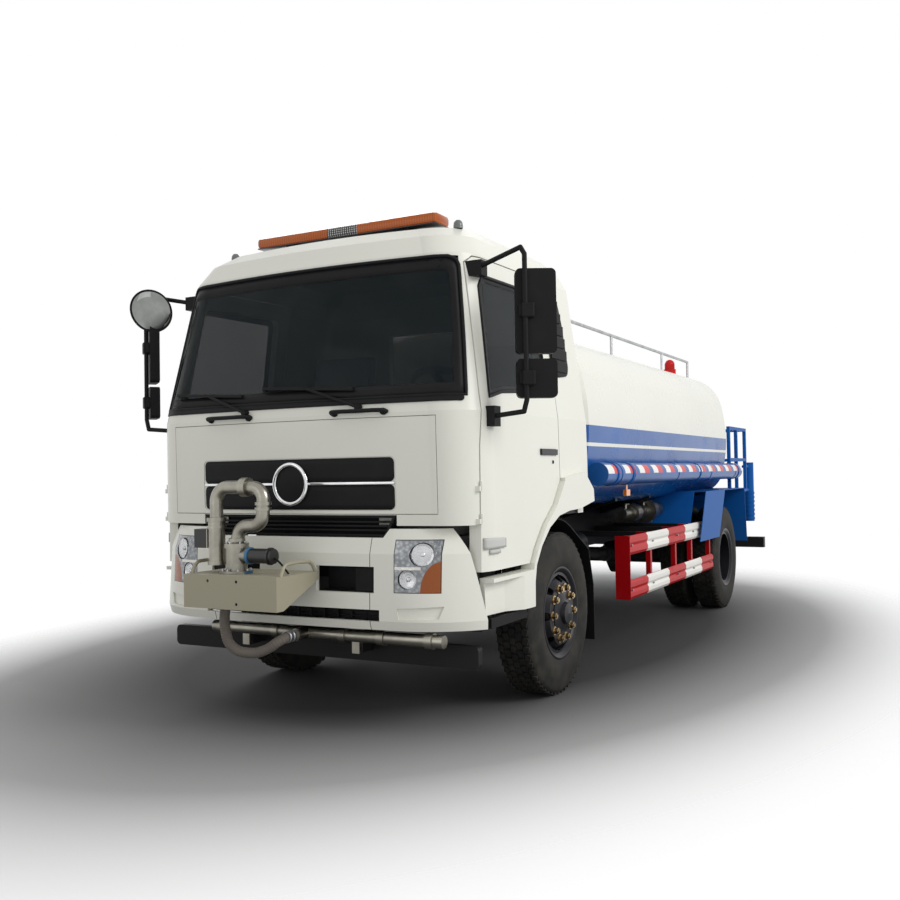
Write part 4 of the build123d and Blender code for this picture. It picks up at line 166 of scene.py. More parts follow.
class Finish(Maker):
    """A material with its Principled shader, whose pattern reads Object coordinates."""

    def __init__(self, name, **settings):
        self.material = bpy.data.materials.new(name)
        self.material.use_nodes = True
        super().__init__(self.material.node_tree)
        self.shader = self.tree.nodes["Principled BSDF"]
        for key, value in settings.items():
            self.set(key.replace("_", " ").title().replace("Ior", "IOR"), value)
        self.place = self.node("ShaderNodeTexCoord", output="Object")
        split = self.tree.nodes.new("ShaderNodeSeparateXYZ")
        self.tree.links.new(self.place.socket, split.inputs[0])
        self.x, self.y, self.z = (Value(self, out) for out in split.outputs)

    def set(self, key, value):
        socket = self.shader.inputs[key]
        if isinstance(value, Value):
            self.tree.links.new(value.socket, socket)
        elif isinstance(value, tuple) and len(value) == 3:
            socket.default_value = (*value, 1.0)
        else:
            socket.default_value = value

    def noise(self, scale, detail):
        return self.node("ShaderNodeTexNoise", {}, {"Vector": self.place, "Scale": scale, "Detail": detail,
                                                     "Roughness": 0.55})

    def cloud(self, scale, detail, start, end):
        """Patches of noise: 0 where it is below start, 1 where it is above end."""
        return self.ramp(self.noise(scale, detail), start, end)

    def mix(self, factor, low, high):
        """A colour between two colours."""
        low, high = ((*c, 1.0) if isinstance(c, tuple) and len(c) == 3 else c for c in (low, high))
        return self.node("ShaderNodeMix", {"data_type": "RGBA"}, {0: factor, 6: low, 7: high}, output=2)

    def ramp(self, factor, start, end):
        """A factor from 0 at start to 1 at end, held outside."""
        return self.node("ShaderNodeMapRange", {"clamp": True}, [factor, start, end, 0.0, 1.0])

    def bump(self, height, strength, distance=0.001):
        self.set("Normal", self.node("ShaderNodeBump", {}, {"Strength": strength, "Distance": distance,
                                                             "Height": height}))


# Finishes


def painted(name, colour, rough=0.28, dust=0.25, low_dust=True, marks=(), shine=0.3):
    """Sprayed paint with faint orange peel and dust; marks are (place function, colour) pairs."""
    finish = Finish(name, roughness=rough, specular_ior_level=shine)
    patch = finish.cloud(1.7, 6.0, 0.45, 0.75)
    speck = finish.cloud(38.0, 3.0, 0.58, 0.78)
    amount = patch * 0.3 + speck * 0.2
    if low_dust:
        amount = amount + finish.ramp(finish.z, 0.95, 0.35) * 0.5
    grime = tuple(0.55 * part + 0.45 * dust_part for part, dust_part in zip(colour, DUST))
    amount = amount * dust
    base = finish.mix(amount, colour, grime)
    for place_of, other in marks:
        base = finish.mix(place_of(finish), base, other)
    finish.set("Base Color", base)
    finish.set("Roughness", amount * 0.45 + rough)
    finish.bump(finish.noise(260.0, 2.0), 0.05)
    return finish.material


def plain_metal(name, colour, rough, metallic=1.0, streak=0.12, bump=0.12, marks=()):
    """Bare or zinc-coated metal, clouded and finely pitted, with plastic where it is marked."""
    finish = Finish(name, metallic=metallic)
    cloud = finish.noise(9.0, 6.0)
    dark = tuple(part * 0.55 for part in colour)
    base, bare = finish.mix(finish.ramp(cloud, 0.35, 0.75) * 0.8, colour, dark), None
    for place_of, other in marks:
        place = place_of(finish)
        base = finish.mix(place, base, other)
        bare = (1.0 - place) * (metallic if bare is None else bare)
    finish.set("Base Color", base)
    if bare is not None:
        finish.set("Metallic", bare)
    finish.set("Roughness", cloud * streak * 2.0 + (rough - streak))
    finish.bump(finish.noise(60.0, 5.0), bump)
    return finish.material


def moulded(name, colour, rough=0.5, grain=420.0):
    """Moulded plastic or rubber with a fine grain and pale dust."""
    finish = Finish(name, specular_ior_level=0.1)
    dust = finish.cloud(6.0, 6.0, 0.5, 0.85) * 0.3
    pale = tuple(part * 0.8 + 0.02 for part in colour)
    finish.set("Base Color", finish.mix(dust, colour, pale))
    finish.set("Roughness", dust * 0.3 + rough)
    finish.bump(finish.noise(grain, 3.0), 0.18)
    return finish.material


def tyre_finish():
    """Black tyre rubber with patches of brown road dust."""
    finish = Finish("tyre_rubber", specular_ior_level=0.15)
    dust = finish.cloud(11.0, 7.0, 0.38, 0.75)
    finish.set("Base Color", finish.mix(dust * 0.6, (0.022, 0.022, 0.021), (0.075, 0.069, 0.058)))
    finish.set("Roughness", dust * 0.2 + 0.68)
    finish.bump(finish.noise(180.0, 4.0), 0.25)
    return finish.material


def clear(name, tint, alpha):
    """Window glass or a lens, as a thin see-through sheet."""
    finish = Finish(name, roughness=0.03, alpha=alpha, specular_ior_level=0.12)
    haze = finish.cloud(3.0, 5.0, 0.45, 0.8) * 0.04
    finish.set("Base Color", finish.mix(haze, tint, (0.4, 0.4, 0.38)))
    finish.material.surface_render_method = "BLENDED"
    return finish.material


def tank_finish():
    """White upper tank over a blue lower half with a thin white line."""
    finish = Finish("tank_paint", coat_weight=0.06, coat_roughness=0.1, specular_ior_level=0.35)
    blue = finish.mix(finish.cloud(1.3, 5.0, 0.35, 0.75), BLUE, (0.005, 0.070, 0.27))
    white = finish.mix(finish.cloud(1.6, 6.0, 0.4, 0.8) * 0.3, WHITE, (0.68, 0.68, 0.64))
    is_white = (finish.z > BLUE_TOP_Z) | finish.z.within(*LINE_Z)
    finish.set("Base Color", finish.mix(is_white, blue, white))
    finish.set("Roughness", finish.cloud(4.0, 5.0, 0.4, 0.8) * 0.15 + 0.2)
    finish.bump(finish.noise(2.6, 2.0), 0.04, 0.01)
    return finish.material


def guard_finish():
    """Red rails with white bands, chipped and dusty."""
    finish = Finish("guard_paint", roughness=0.35, specular_ior_level=0.12)
    bands = sum(finish.x.within(*ends) for ends in GUARD_BANDS)
    rails = sum(finish.z.within(*heights) for heights in GUARD_RAILS)
    outside = finish.y.size() > 1.15
    worn = finish.cloud(7.0, 7.0, 0.55, 0.85) * 0.3
    red = finish.mix(worn, (0.47, 0.004, 0.008), (0.43, 0.040, 0.034))
    white = finish.mix(worn, (0.82, 0.81, 0.76), (0.60, 0.56, 0.50))
    hidden = finish.y.size() < 1.05
    colour = finish.mix(bands * outside * rails, red, white)
    finish.set("Base Color", finish.mix(hidden, colour, (0.02, 0.02, 0.021)))
    finish.set("Roughness", worn * 0.6 + 0.34)
    finish.bump(finish.noise(120.0, 4.0), 0.08)
    return finish.material


def tube_finish():
    """Blue hose tube with pairs of white and red tape squares on its outer face."""
    finish = Finish("hose_tube_paint", roughness=0.3, specular_ior_level=0.3)
    along = (TAPE_START_X - finish.x) % TAPE_PERIOD
    band = finish.z.within(*TAPE_Z) * (finish.y.size() > 1.2)
    white = (along < TAPE_SQUARE) * band
    red = along.within(TAPE_SQUARE, 2 * TAPE_SQUARE - 0.002) * band
    blue = finish.mix(finish.cloud(2.3, 6.0, 0.4, 0.8), BLUE, (0.008, 0.070, 0.26))
    colour = finish.mix(white, blue, (0.80, 0.80, 0.78))
    finish.set("Base Color", finish.mix(red, colour, (0.60, 0.03, 0.035)))
    finish.bump(finish.noise(90.0, 3.0), 0.05)
    return finish.material


def lamp_bar_finish():
    """Amber lens with a ribbed grey middle on a black base, and grey marker lamps beside it."""
    finish = Finish("roof_lamp_lens", roughness=0.16, coat_weight=0.15, coat_roughness=0.04,
                    specular_ior_level=0.3)
    ribs = (finish.y * 55.0) % 1.0
    amber = finish.mix(finish.ramp(ribs, 0.0, 1.0), (0.55, 0.120, 0.003), (0.34, 0.065, 0.002))
    bars = ((finish.y * 60.0) % 1.0 < 0.5) + ((finish.z * 75.0) % 1.0 < 0.4)
    speaker = finish.mix(bars > 0.5, (0.55, 0.55, 0.55), (0.02, 0.02, 0.02))
    middle = finish.y.size() < BAR_MIDDLE_Y
    colour = finish.mix(finish.z < BAR_BASE_Z, finish.mix(middle, amber, speaker), (0.02, 0.02, 0.02))
    finish.set("Base Color", finish.mix(finish.y.size() > 0.75, colour, (0.16, 0.17, 0.17)))
    finish.bump(ribs, 0.25, 0.002)
    return finish.material


def lamp_unit_finish():
    """A headlamp's ribbed reflector with an amber lower outer corner and a dark edge."""
    finish = Finish("headlamp_unit", coat_weight=0.25, coat_roughness=0.02, specular_ior_level=0.3)
    side = finish.y.size()
    across = (LAMP_OUTER_Y - side) / AMBER_WIDTH
    upward = (finish.z - LAMP_LOW_Z) / AMBER_HEIGHT
    amber = (across * across + upward * upward) < 1.0
    edge = 1.0 - side.within(*LAMP_CLEAR_Y) * finish.z.within(*LAMP_CLEAR_Z)
    shelf = finish.z.within(*LAMP_SHELF_Z) * (side < 0.865)
    cells = finish.node("ShaderNodeTexVoronoi", {}, {"Vector": finish.place, "Scale": 46.0})
    bright = finish.mix(finish.ramp(cells, 0.0, 0.7), (0.34, 0.35, 0.36), (0.17, 0.18, 0.19))
    colour = finish.mix(amber, finish.mix(shelf, bright, (0.55, 0.54, 0.50)), (0.30, 0.070, 0.004))
    finish.set("Base Color", finish.mix(edge, colour, DARK))
    finish.set("Metallic", (1.0 - (amber | edge)) * 0.9)
    finish.set("Roughness", cells * 0.2 + 0.12)
    ribs = (finish.y * 70.0) % 1.0
    finish.bump(ribs + cells, 0.35, 0.002)
    return finish.material


def low_lamp_finish():
    """Red tail lamps with a white reversing end, and amber side lamps."""
    finish = Finish("low_lamp_lens", roughness=0.15, coat_weight=0.8, coat_roughness=0.04)
    ribs = (finish.y * 90.0) % 1.0
    tail = finish.mix(finish.y.size() < 1.0, (0.55, 0.015, 0.012), (0.78, 0.77, 0.74))
    finish.set("Base Color", finish.mix(finish.x > -3.0, tail, (0.85, 0.24, 0.012)))
    finish.bump(ribs, 0.2, 0.002)
    return finish.material


# Places that have a second colour


def on_handle(finish):
    """The paddle of a door's handle."""
    return finish.x.within(*HANDLE_X) * finish.z.within(*HANDLE_Z) * (finish.y.size() > HANDLE_OUT_Y)


def on_seam(finish):
    """The joint between the bumper's middle and its corner."""
    return (finish.y.size() - BUMPER_SEAM_Y).size() < 0.0022


def on_motor(finish):
    """The cap of the motor that turns the cannon's valve."""
    return finish.y > MOTOR_Y[1]


def on_motor_band(finish):
    """The bright band between the valve and its motor."""
    return finish.y.within(*MOTOR_Y)


def on_switch_box(finish):
    """The box on the cannon's barrel."""
    return finish.y < SWITCH_BOX_Y


def on_hangers(finish):
    """The rear ends of the blocks that hang the spray pipe from the underrun board."""
    near_board = (finish.x < HANGER_FRONT_X) * (finish.z < HANGER_TOP_Z)
    return near_board * (finish.y.size() < HANGER_HALF_Y)


white_paint = painted("cab_white", WHITE)
door_paint = painted("door_white", WHITE, marks=((on_handle, DARK),))
bumper_paint = painted("bumper_white", WHITE, marks=((on_seam, (0.08, 0.08, 0.075)),))
blue_paint = painted("frame_blue", BLUE, rough=0.42, dust=0.12, shine=0.08)
black_paint = painted("chassis_black", (0.010, 0.010, 0.011), rough=0.42, dust=0.08, shine=0.12)
tray_paint = painted("tray_grey", (0.36, 0.335, 0.245), rough=0.42, dust=0.3)
wheel_paint = painted("wheel_black", (0.012, 0.012, 0.015), rough=0.3, dust=0.08, low_dust=False, shine=0.2)
zinc = plain_metal("zinc_coat", (0.52, 0.53, 0.54), 0.42)
steel = plain_metal("pipe_steel", STEEL, 0.32, streak=0.14, bump=0.2)
spray_metal = plain_metal("spray_pipe_metal", STEEL, 0.32, streak=0.14, bump=0.2,
                          marks=((on_hangers, DARK),))
cannon_base_metal = plain_metal("valve_metal", STEEL, 0.32,
                                marks=((on_motor, DARK), (on_motor_band, (0.05, 0.16, 0.30))))
barrel_metal = plain_metal("barrel_metal", STEEL, 0.32, marks=((on_switch_box, DARK),))
bronze = plain_metal("nut_bronze", (0.60, 0.46, 0.27), 0.26, bump=0.05)
chrome = plain_metal("bright_chrome", (0.82, 0.83, 0.84), 0.08, streak=0.03, bump=0.01)
casting = plain_metal("rough_casting", (0.085, 0.083, 0.08), 0.62, metallic=0.5, bump=0.5)
hose_rubber = moulded("hose_grey", (0.17, 0.15, 0.13), rough=0.5)
black_plastic = moulded("black_plastic", DARK)
pale_plastic = moulded("step_grips", (0.10, 0.10, 0.10))
seal_rubber = moulded("seal_rubber", DARK, rough=0.4, grain=300.0)
trim_plastic = moulded("dash_plastic", (0.07, 0.072, 0.078))
seat_cloth = moulded("seat_cloth", (0.12, 0.12, 0.13), rough=0.85, grain=900.0)
tyre_rubber = tyre_finish()
window_glass = clear("window_glass", (0.004, 0.010, 0.013), 0.58)
lamp_glass = clear("lamp_glass", (0.55, 0.57, 0.58), 0.14)
marker_lens = moulded("marker_lens", (0.55, 0.55, 0.53), rough=0.16, grain=90.0)
mirror_glass = plain_metal("mirror_glass", (0.30, 0.31, 0.30), 0.04, streak=0.02, bump=0.0)
red_plastic = moulded("red_lens", (0.55, 0.02, 0.02), rough=0.2, grain=60.0)
roof_lens = lamp_bar_finish()

# Each finish with the CAD pieces that wear it
WORN = (
    (white_paint, "cab_shell front_lid manhole_collar manhole_lid side_skirts"),
    (door_paint, "door_left door_right"),
    (bumper_paint, "bumper"),
    (blue_paint, "mudguards_rear rear_platform"),
    (black_paint, "air_tanks chassis_frame leaf_springs rear_bumper tank_cradle underrun_board"),
    (tray_paint, "cannon_tray"),
    (wheel_paint, "rim_front_left rim_front_right rims_rear_left rims_rear_right"),
    (zinc, "fuel_tank tank_rail"),
    (steel, "cannon_loop water_pump"),
    (spray_metal, "spray_pipes"),
    (cannon_base_metal, "cannon_base"),
    (barrel_metal, "cannon_barrel"),
    (casting, "axle_front axle_rear engine_block knuckle_left knuckle_right propeller_shaft tie_rod"),
    (hose_rubber, "feed_hose"),
    (black_plastic, "cab_steps grille mirrors_left mirrors_right mudguards_front steering_wheel wipers"),
    (trim_plastic, "cab_floor dashboard"),
    (seat_cloth, "seats"),
    (tyre_rubber, "tyre_front_left tyre_front_right tyres_rear_left tyres_rear_right"),
    (window_glass, "cab_glass door_glass_left door_glass_right"),
    (red_plastic, "beacon"),
    (roof_lens, "roof_lamps"),
    (lamp_unit_finish(), "headlamps"),
    (low_lamp_finish(), "low_lamps"),
    (tube_finish(), "hose_tubes"),
    (guard_finish(), "side_guards"),
    (tank_finish(), "tank"),
)
for finish, nodes in WORN:
    for node in nodes.split():
        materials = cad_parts[node].data.materials
        materials.clear()
        materials.append(finish)

# Mesh helpers


def piece_of(name, shape, body, slot, *finishes):
    """An object from a bmesh, riding on a body."""
    mesh = bpy.data.meshes.new(name)
    shape.to_mesh(mesh)
    shape.free()
    made = bpy.data.objects.new(name, mesh)
    bpy.context.scene.collection.objects.link(made)
    for finish in finishes:
        mesh.materials.append(finish)
    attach(made, body)
    return made


def turned(shape, profile, centre, axis="Y", steps=64, smooth=True):
    """Adds a closed form turned from (radius, along) points about Y or Z; a radius of 0 is one point."""
    cx, cy, cz = centre
    rings = []
    for step in range(steps):
        angle = 2 * math.pi * step / steps
        c, s = math.cos(angle), math.sin(angle)
        ring = []
        for i, (radius, along) in enumerate(profile):
            if radius == 0 and rings:
                ring.append(rings[0][i])
                continue
            if axis == "Y":
                spot = (cx + radius * c, cy + along, cz + radius * s)
            else:
                spot = (cx + radius * c, cy + radius * s, cz + along)
            ring.append(shape.verts.new(spot))
        rings.append(ring)
    faces = []
    for step in range(steps):
        here, there = rings[step], rings[(step + 1) % steps]
        for i in range(len(profile)):
            j = (i + 1) % len(profile)
            corners = list(dict.fromkeys((here[i], here[j], there[j], there[i])))
            if len(corners) < 3:
                continue
            face = shape.faces.new(corners)
            face.smooth = smooth
            faces.append(face)
    bmesh.ops.recalc_face_normals(shape, faces=faces)


def sharpen(made, angle=35.0):
    """Smooth shading with hard edges above an angle."""
    made.data.set_sharp_from_angle(angle=math.radians(angle))


def surface_of(*nodes):
    """A search tree over the faces of CAD nodes at rest."""
    shape = bmesh.new()
    for node in nodes:
        shape.from_mesh(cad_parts[node].data)
    tree = BVHTree.FromBMesh(shape)
    shape.free()
    return tree


def laid(tree, spot, direction, lift):
    """Where a ray from spot meets a surface, lifted off it by a little, or None."""
    hit, normal, _, _ = tree.ray_cast(Vector(spot), Vector(direction))
    if hit is None:
        return None
    if normal.dot(Vector(direction)) > 0:
        normal = -normal
    return hit + normal * lift


def on_front(tree, y, z, lift=0.0005):
    """The place on a surface that shows from straight ahead."""
    return laid(tree, (AHEAD_X, y, z), (-1, 0, 0), lift)


def on_side(tree, side, x, z, lift=0.0005):
    """The place on a surface that shows from straight beside the truck."""
    return laid(tree, (x, side * BESIDE_Y, z), (0, -side, 0), lift)


def from_above(tree, x, y, lift=0.0005):
    """The place on a surface that shows from straight above."""
    return laid(tree, (x, y, ABOVE_Z), (0, 0, -1), lift)


# Camera, light and floor

# the photo's camera: its turn is an axis times an angle, for a camera that looks along +Z with Y down
CAMERA_TURN = (0.9374, 1.5347, -1.5878)
CAMERA_PLACE = (8.5463, 3.5807, 1.4500)
camera_data = bpy.data.cameras.new("camera")
camera_data.sensor_width = 36.0
camera_data.lens = 39.635
camera = bpy.data.objects.new("camera", camera_data)
bpy.context.scene.collection.objects.link(camera)
turn = Vector(CAMERA_TURN)
to_camera = Matrix.Rotation(turn.length, 3, turn.normalized())
camera.matrix_world = (to_camera.transposed() @ Matrix.Diagonal((1, -1, -1))).to_4x4()
camera.location = CAMERA_PLACE
camera_data.clip_end = 200
bpy.context.scene.camera = camera
bpy.context.scene.view_settings.view_transform = "Standard"

# a painted shadow: the floor is dark under the truck and fades outwards from an oval: its middle and its half
# sizes, along X and Y
PAINTED_SHADOW_MIDDLE = (0.25, -0.55)
PAINTED_SHADOW_HALF = (5.6, 3.3)
floor_mesh = bpy.data.meshes.new("floor")
floor_mesh.from_pydata([(-60, -60, 0), (60, -60, 0), (60, 60, 0), (-60, 60, 0)], [], [(0, 1, 2, 3)])
floor = bpy.data.objects.new("floor", floor_mesh)
bpy.context.scene.collection.objects.link(floor)
floor_finish = Finish("floor", roughness=0.9)
along, across = floor_finish.x - PAINTED_SHADOW_MIDDLE[0], floor_finish.y - PAINTED_SHADOW_MIDDLE[1]
ring = (along * along) / PAINTED_SHADOW_HALF[0] ** 2 + (across * across) / PAINTED_SHADOW_HALF[1] ** 2
# painted shadow in the floor's colour: near black inside the oval, pale outside it
painted_shadow = floor_finish.ramp(ring, 1.45, 0.35)
floor_finish.set("Base Color", floor_finish.mix(painted_shadow, (0.86, 0.86, 0.86), (0.030, 0.030, 0.030)))
clear_floor = floor_finish.tree.nodes.new("ShaderNodeBsdfTransparent")
fade = floor_finish.node("ShaderNodeMixShader", {}, [floor_finish.ramp(ring, 0.8, 1.55)])
floor_finish.tree.links.new(floor_finish.shader.outputs[0], fade.socket.node.inputs[1])
floor_finish.tree.links.new(clear_floor.outputs[0], fade.socket.node.inputs[2])
floor_finish.tree.links.new(fade.socket, floor_finish.tree.nodes["Material Output"].inputs[0])
floor_mesh.materials.append(floor_finish.material)

world = bpy.data.worlds.new("studio")
bpy.context.scene.world = world
world.use_nodes = True
sky = Maker(world.node_tree)
background = world.node_tree.nodes["Background"]
path = world.node_tree.nodes.new("ShaderNodeLightPath")
camera_ray, glossy_ray, through_ray = (
    Value(sky, path.outputs[kind]) for kind in ("Is Camera Ray", "Is Glossy Ray", "Is Transmission Ray"))
seen = camera_ray | glossy_ray | through_ray
background.inputs["Color"].default_value = (1, 1, 1, 1)
world.node_tree.links.new((seen * 0.42 + 0.58).socket, background.inputs["Strength"])


def lamp(name, spot, aim, size, power):
    """A square lamp that shines from a spot towards another."""
    data = bpy.data.lights.new(name, "AREA")
    data.energy, data.size = power, size
    made = bpy.data.objects.new(name, data)
    bpy.context.scene.collection.objects.link(made)
    made.location = spot
    made.rotation_euler = (Vector(aim) - Vector(spot)).to_track_quat("-Z", "Y").to_euler()


lamp("key", (2.5, 12.0, 8.0), (0, 0, 1.3), 6.0, 920)
lamp("front_fill", (13.0, -3.0, 4.0), (1, 0, 1.2), 6.0, 70)
lamp("rear_fill", (-9.0, -7.0, 8.0), (0, 0, 1.2), 7.0, 450)

# Geometry Nodes: what every tree here shares

# short names of the socket types that the trees take
KINDS = {"geometry": "NodeSocketGeometry", "number": "NodeSocketFloat", "count": "NodeSocketInt",
         "place": "NodeSocketVector", "finish": "NodeSocketMaterial"}


def new_tree(name, *inputs):
    """A node tree whose inputs are given as (name, kind, usual value), and its inputs as Values."""
    tree = bpy.data.node_groups.new(name, "GeometryNodeTree")
    for label, kind, usual in inputs:
        socket = tree.interface.new_socket(label, in_out="INPUT", socket_type=KINDS[kind])
        if usual is not None:
            socket.default_value = usual
    tree.interface.new_socket("Geometry", in_out="OUTPUT", socket_type="NodeSocketGeometry")
    make = Maker(tree)
    given = tree.nodes.new("NodeGroupInput")
    return make, {item.name: Value(make, item) for item in given.outputs if item.name}


def closing(make, placed, finish):
    """Ends a tree with its instances made real and its material set."""
    real = make.node("GeometryNodeRealizeInstances", {}, [placed])
    dressed = make.node("GeometryNodeSetMaterial", {}, {"Geometry": real, "Material": finish})
    make.tree.links.new(dressed.socket, make.tree.nodes.new("NodeGroupOutput").inputs[0])
    return make.tree


def grown(tree, settings, held=None):
    """The mesh that a node tree makes with these settings, from a held mesh or curve where one is given."""
    carrier = bpy.data.objects.new("carrier", held or bpy.data.meshes.new("carrier"))
    bpy.context.scene.collection.objects.link(carrier)
    modifier = carrier.modifiers.new("shape", "NODES")
    modifier.node_group = tree
    for item in tree.interface.items_tree:
        if item.in_out == "INPUT" and item.name in settings:
            modifier[item.identifier] = settings[item.name]
    carrier.update_tag()
    solid = carrier.evaluated_get(bpy.context.evaluated_depsgraph_get())
    mesh = bpy.data.meshes.new_from_object(solid)
    bpy.data.objects.remove(carrier)
    return mesh


# Wheels


def tread_tree():
    """Geometry Nodes: rows of tread blocks round a wheel, each row turned half a block from the last."""
    make, value = new_tree("tread_rows", ("Middle", "place", (0, 0, 0)), ("Radius", "number", TYRE_RADIUS),
                           ("Blocks", "count", 58), ("Rows", "count", 5), ("Row Width", "number", 0.043),
                           ("Height", "number", 0.02), ("Finish", "finish", None))
    count = value["Blocks"] * value["Rows"]
    index = make.node("GeometryNodeInputIndex")
    row = make.node("ShaderNodeMath", {"operation": "FLOOR"}, [index / value["Blocks"]])
    in_row = index - row * value["Blocks"]
    angle = (in_row + row * 0.5) / value["Blocks"] * (2 * math.pi)
    out = value["Radius"] - value["Height"] * 0.5
    cosine = make.node("ShaderNodeMath", {"operation": "COSINE"}, [angle])
    sine = make.node("ShaderNodeMath", {"operation": "SINE"}, [angle])
    across = (row - (value["Rows"] - 1) * 0.5) * value["Row Width"]
    ring = make.node("ShaderNodeCombineXYZ", {}, [cosine * out, across, sine * out])
    spot = make.node("ShaderNodeVectorMath", {"operation": "ADD"}, [ring, value["Middle"]])
    points = make.node("GeometryNodePoints", {}, {"Count": count, "Position": spot})
    skew = (row % 2.0 - 0.5) * 0.5
    facing = make.node("ShaderNodeCombineXYZ", {}, [skew, 0.0 - angle, 0.0])
    length = value["Radius"] * (2 * math.pi * 0.72) / value["Blocks"]
    size = make.node("ShaderNodeCombineXYZ", {}, [value["Height"], value["Row Width"] * 0.84, length])
    block = make.node("GeometryNodeMeshCube", {}, {"Size": size})
    placed = make.node("GeometryNodeInstanceOnPoints", {},
                       {"Points": points, "Instance": block, "Rotation": facing})
    return closing(make, placed, value["Finish"])


tread = tread_tree()


def tyre_profile():
    """The tyre's closed section as (radius, across) points, with rounded shoulders and sidewalls."""
    half = TYRE_WIDTH / 2
    base = TYRE_RADIUS - TREAD_DEPTH
    side = [
        (RIM_RADIUS + 0.004, 0.089), (RIM_RADIUS + 0.020, 0.099), (RIM_RADIUS + 0.034, 0.112),
        (0.315, 0.126), (0.345, 0.134), (0.380, half), (0.415, half - 0.001), (0.445, half - 0.006),
        (0.470, half - 0.013), (0.488, half - 0.017), (0.500, half - 0.021), (0.510, half - 0.029),
        (base, 0.104),
    ]
    crown = [(base + 0.002, 0.06), (base + 0.003, 0.0), (base + 0.002, -0.06)]
    other = [(radius, -across) for radius, across in reversed(side)]
    return side + crown + other + [(RIM_RADIUS + 0.002, -0.06), (RIM_RADIUS + 0.002, 0.06)]


def dressed_tyres(name, body, x, middles, node):
    """Tyres with tread blocks in place of an axle end's plain ones."""
    shape = bmesh.new()
    for middle in middles:
        turned(shape, tyre_profile(), (x, middle, TYRE_RADIUS), steps=96)
        blocks = grown(tread, {"Middle": (x, middle, TYRE_RADIUS), "Finish": tyre_rubber})
        shape.from_mesh(blocks)
    made = piece_of(name, shape, body, "tyre", tyre_rubber)
    sharpen(made)
    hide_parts(node)


def rim_lip(name, body, x, middles):
    """The rim's rolled lips, which grip the tyre's beads on both sides."""
    shape = bmesh.new()
    for middle in middles:
        for side in (1, -1):
            lip = [(radius, side * across) for radius, across in RIM_LIP]
            turned(shape, lip, (x, middle, TYRE_RADIUS), steps=80)
    sharpen(piece_of(name, shape, body, "wheel_paint", wheel_paint), 40.0)


for side, word in SIDES:
    rim_lip(f"rim_lip_front_{word}", f"wheel_front_{word}", FRONT_AXLE_X, [side * FRONT_WHEEL_Y])
    rim_lip(f"rim_lips_rear_{word}", f"wheels_rear_{word}", REAR_AXLE_X, [side * y for y in REAR_WHEEL_YS])
    dressed_tyres(f"treaded_tyre_front_{word}", f"wheel_front_{word}", FRONT_AXLE_X, [side * FRONT_WHEEL_Y],
                  f"tyre_front_{word}")
    dressed_tyres(f"treaded_tyres_rear_{word}", f"wheels_rear_{word}", REAR_AXLE_X,
                  [side * y for y in REAR_WHEEL_YS], f"tyres_rear_{word}")

# Small forms that repeat or follow a path

# columns of each stud's parts: sides, width, height and middle's distance from its seat, in head radii
STUD_PARTS = ((16, 1.32, 0.24, 0.12), (6, 1.0, 1.1, 0.75), (12, 0.6, 0.4, 1.45))


def stud_tree():
    """Geometry Nodes: on each point a washer, a hexagonal head and a stud's end, facing the way it holds."""
    make, value = new_tree("studs", ("Geometry", "geometry", None), ("Radius", "number", 0.008),
                           ("Finish", "finish", None))
    facing = make.node("GeometryNodeInputNamedAttribute", {"data_type": "FLOAT_VECTOR"}, {"Name": "facing"})
    turn = make.node("FunctionNodeAlignRotationToVector", {"axis": "Z"}, {"Vector": facing})
    points = make.node("GeometryNodeMeshToPoints", {}, [value["Geometry"]])
    join = make.tree.nodes.new("GeometryNodeJoinGeometry")
    for sides, wide, tall, away in STUD_PARTS:
        bar = make.node("GeometryNodeMeshCylinder", {}, {"Vertices": sides, "Radius": value["Radius"] * wide,
                                                         "Depth": value["Radius"] * tall})
        shift = make.node("ShaderNodeVectorMath", {"operation": "SCALE"},
                          {"Vector": facing, "Scale": value["Radius"] * away})
        moved = make.node("GeometryNodeSetPosition", {}, {"Geometry": points, "Offset": shift})
        placed = make.node("GeometryNodeInstanceOnPoints", {},
                           {"Points": moved, "Instance": bar, "Rotation": turn})
        make.tree.links.new(placed.socket, join.inputs[0])
    return closing(make, Value(make, join.outputs[0]), value["Finish"])


def slat_tree():
    """Geometry Nodes: a slat of one size on each point."""
    make, value = new_tree("slats", ("Geometry", "geometry", None), ("Size", "place", (0.1, 0.01, 0.01)),
                           ("Finish", "finish", None))
    points = make.node("GeometryNodeMeshToPoints", {}, [value["Geometry"]])
    slat = make.node("GeometryNodeMeshCube", {}, {"Size": value["Size"]})
    placed = make.node("GeometryNodeInstanceOnPoints", {}, {"Points": points, "Instance": slat})
    return closing(make, placed, value["Finish"])


def tube_tree():
    """Geometry Nodes: a round tube along a curve, with ridges where a ridge height is given."""
    make, value = new_tree("tube", ("Geometry", "geometry", None), ("Radius", "number", 0.01),
                           ("Sides", "count", 12), ("Step", "number", 0.02), ("Ridge", "number", 0.0),
                           ("Pitch", "number", 0.02), ("Finish", "finish", None))
    line = make.node("GeometryNodeResampleCurve", {"mode": "LENGTH"},
                     {"Curve": value["Geometry"], "Length": value["Step"]})
    along = make.node("GeometryNodeSplineParameter", output=1)
    wave = make.node("ShaderNodeMath", {"operation": "SINE"}, [along / value["Pitch"] * (2 * math.pi)])
    ring = make.node("GeometryNodeCurvePrimitiveCircle", {},
                     {"Resolution": value["Sides"], "Radius": value["Radius"]})
    swell = wave * value["Ridge"] + 1.0
    tube = make.node("GeometryNodeCurveToMesh", {},
                     {"Curve": line, "Profile Curve": ring, "Scale": swell, "Fill Caps": True})
    return closing(make, tube, value["Finish"])


stud, slat, tube = stud_tree(), slat_tree(), tube_tree()


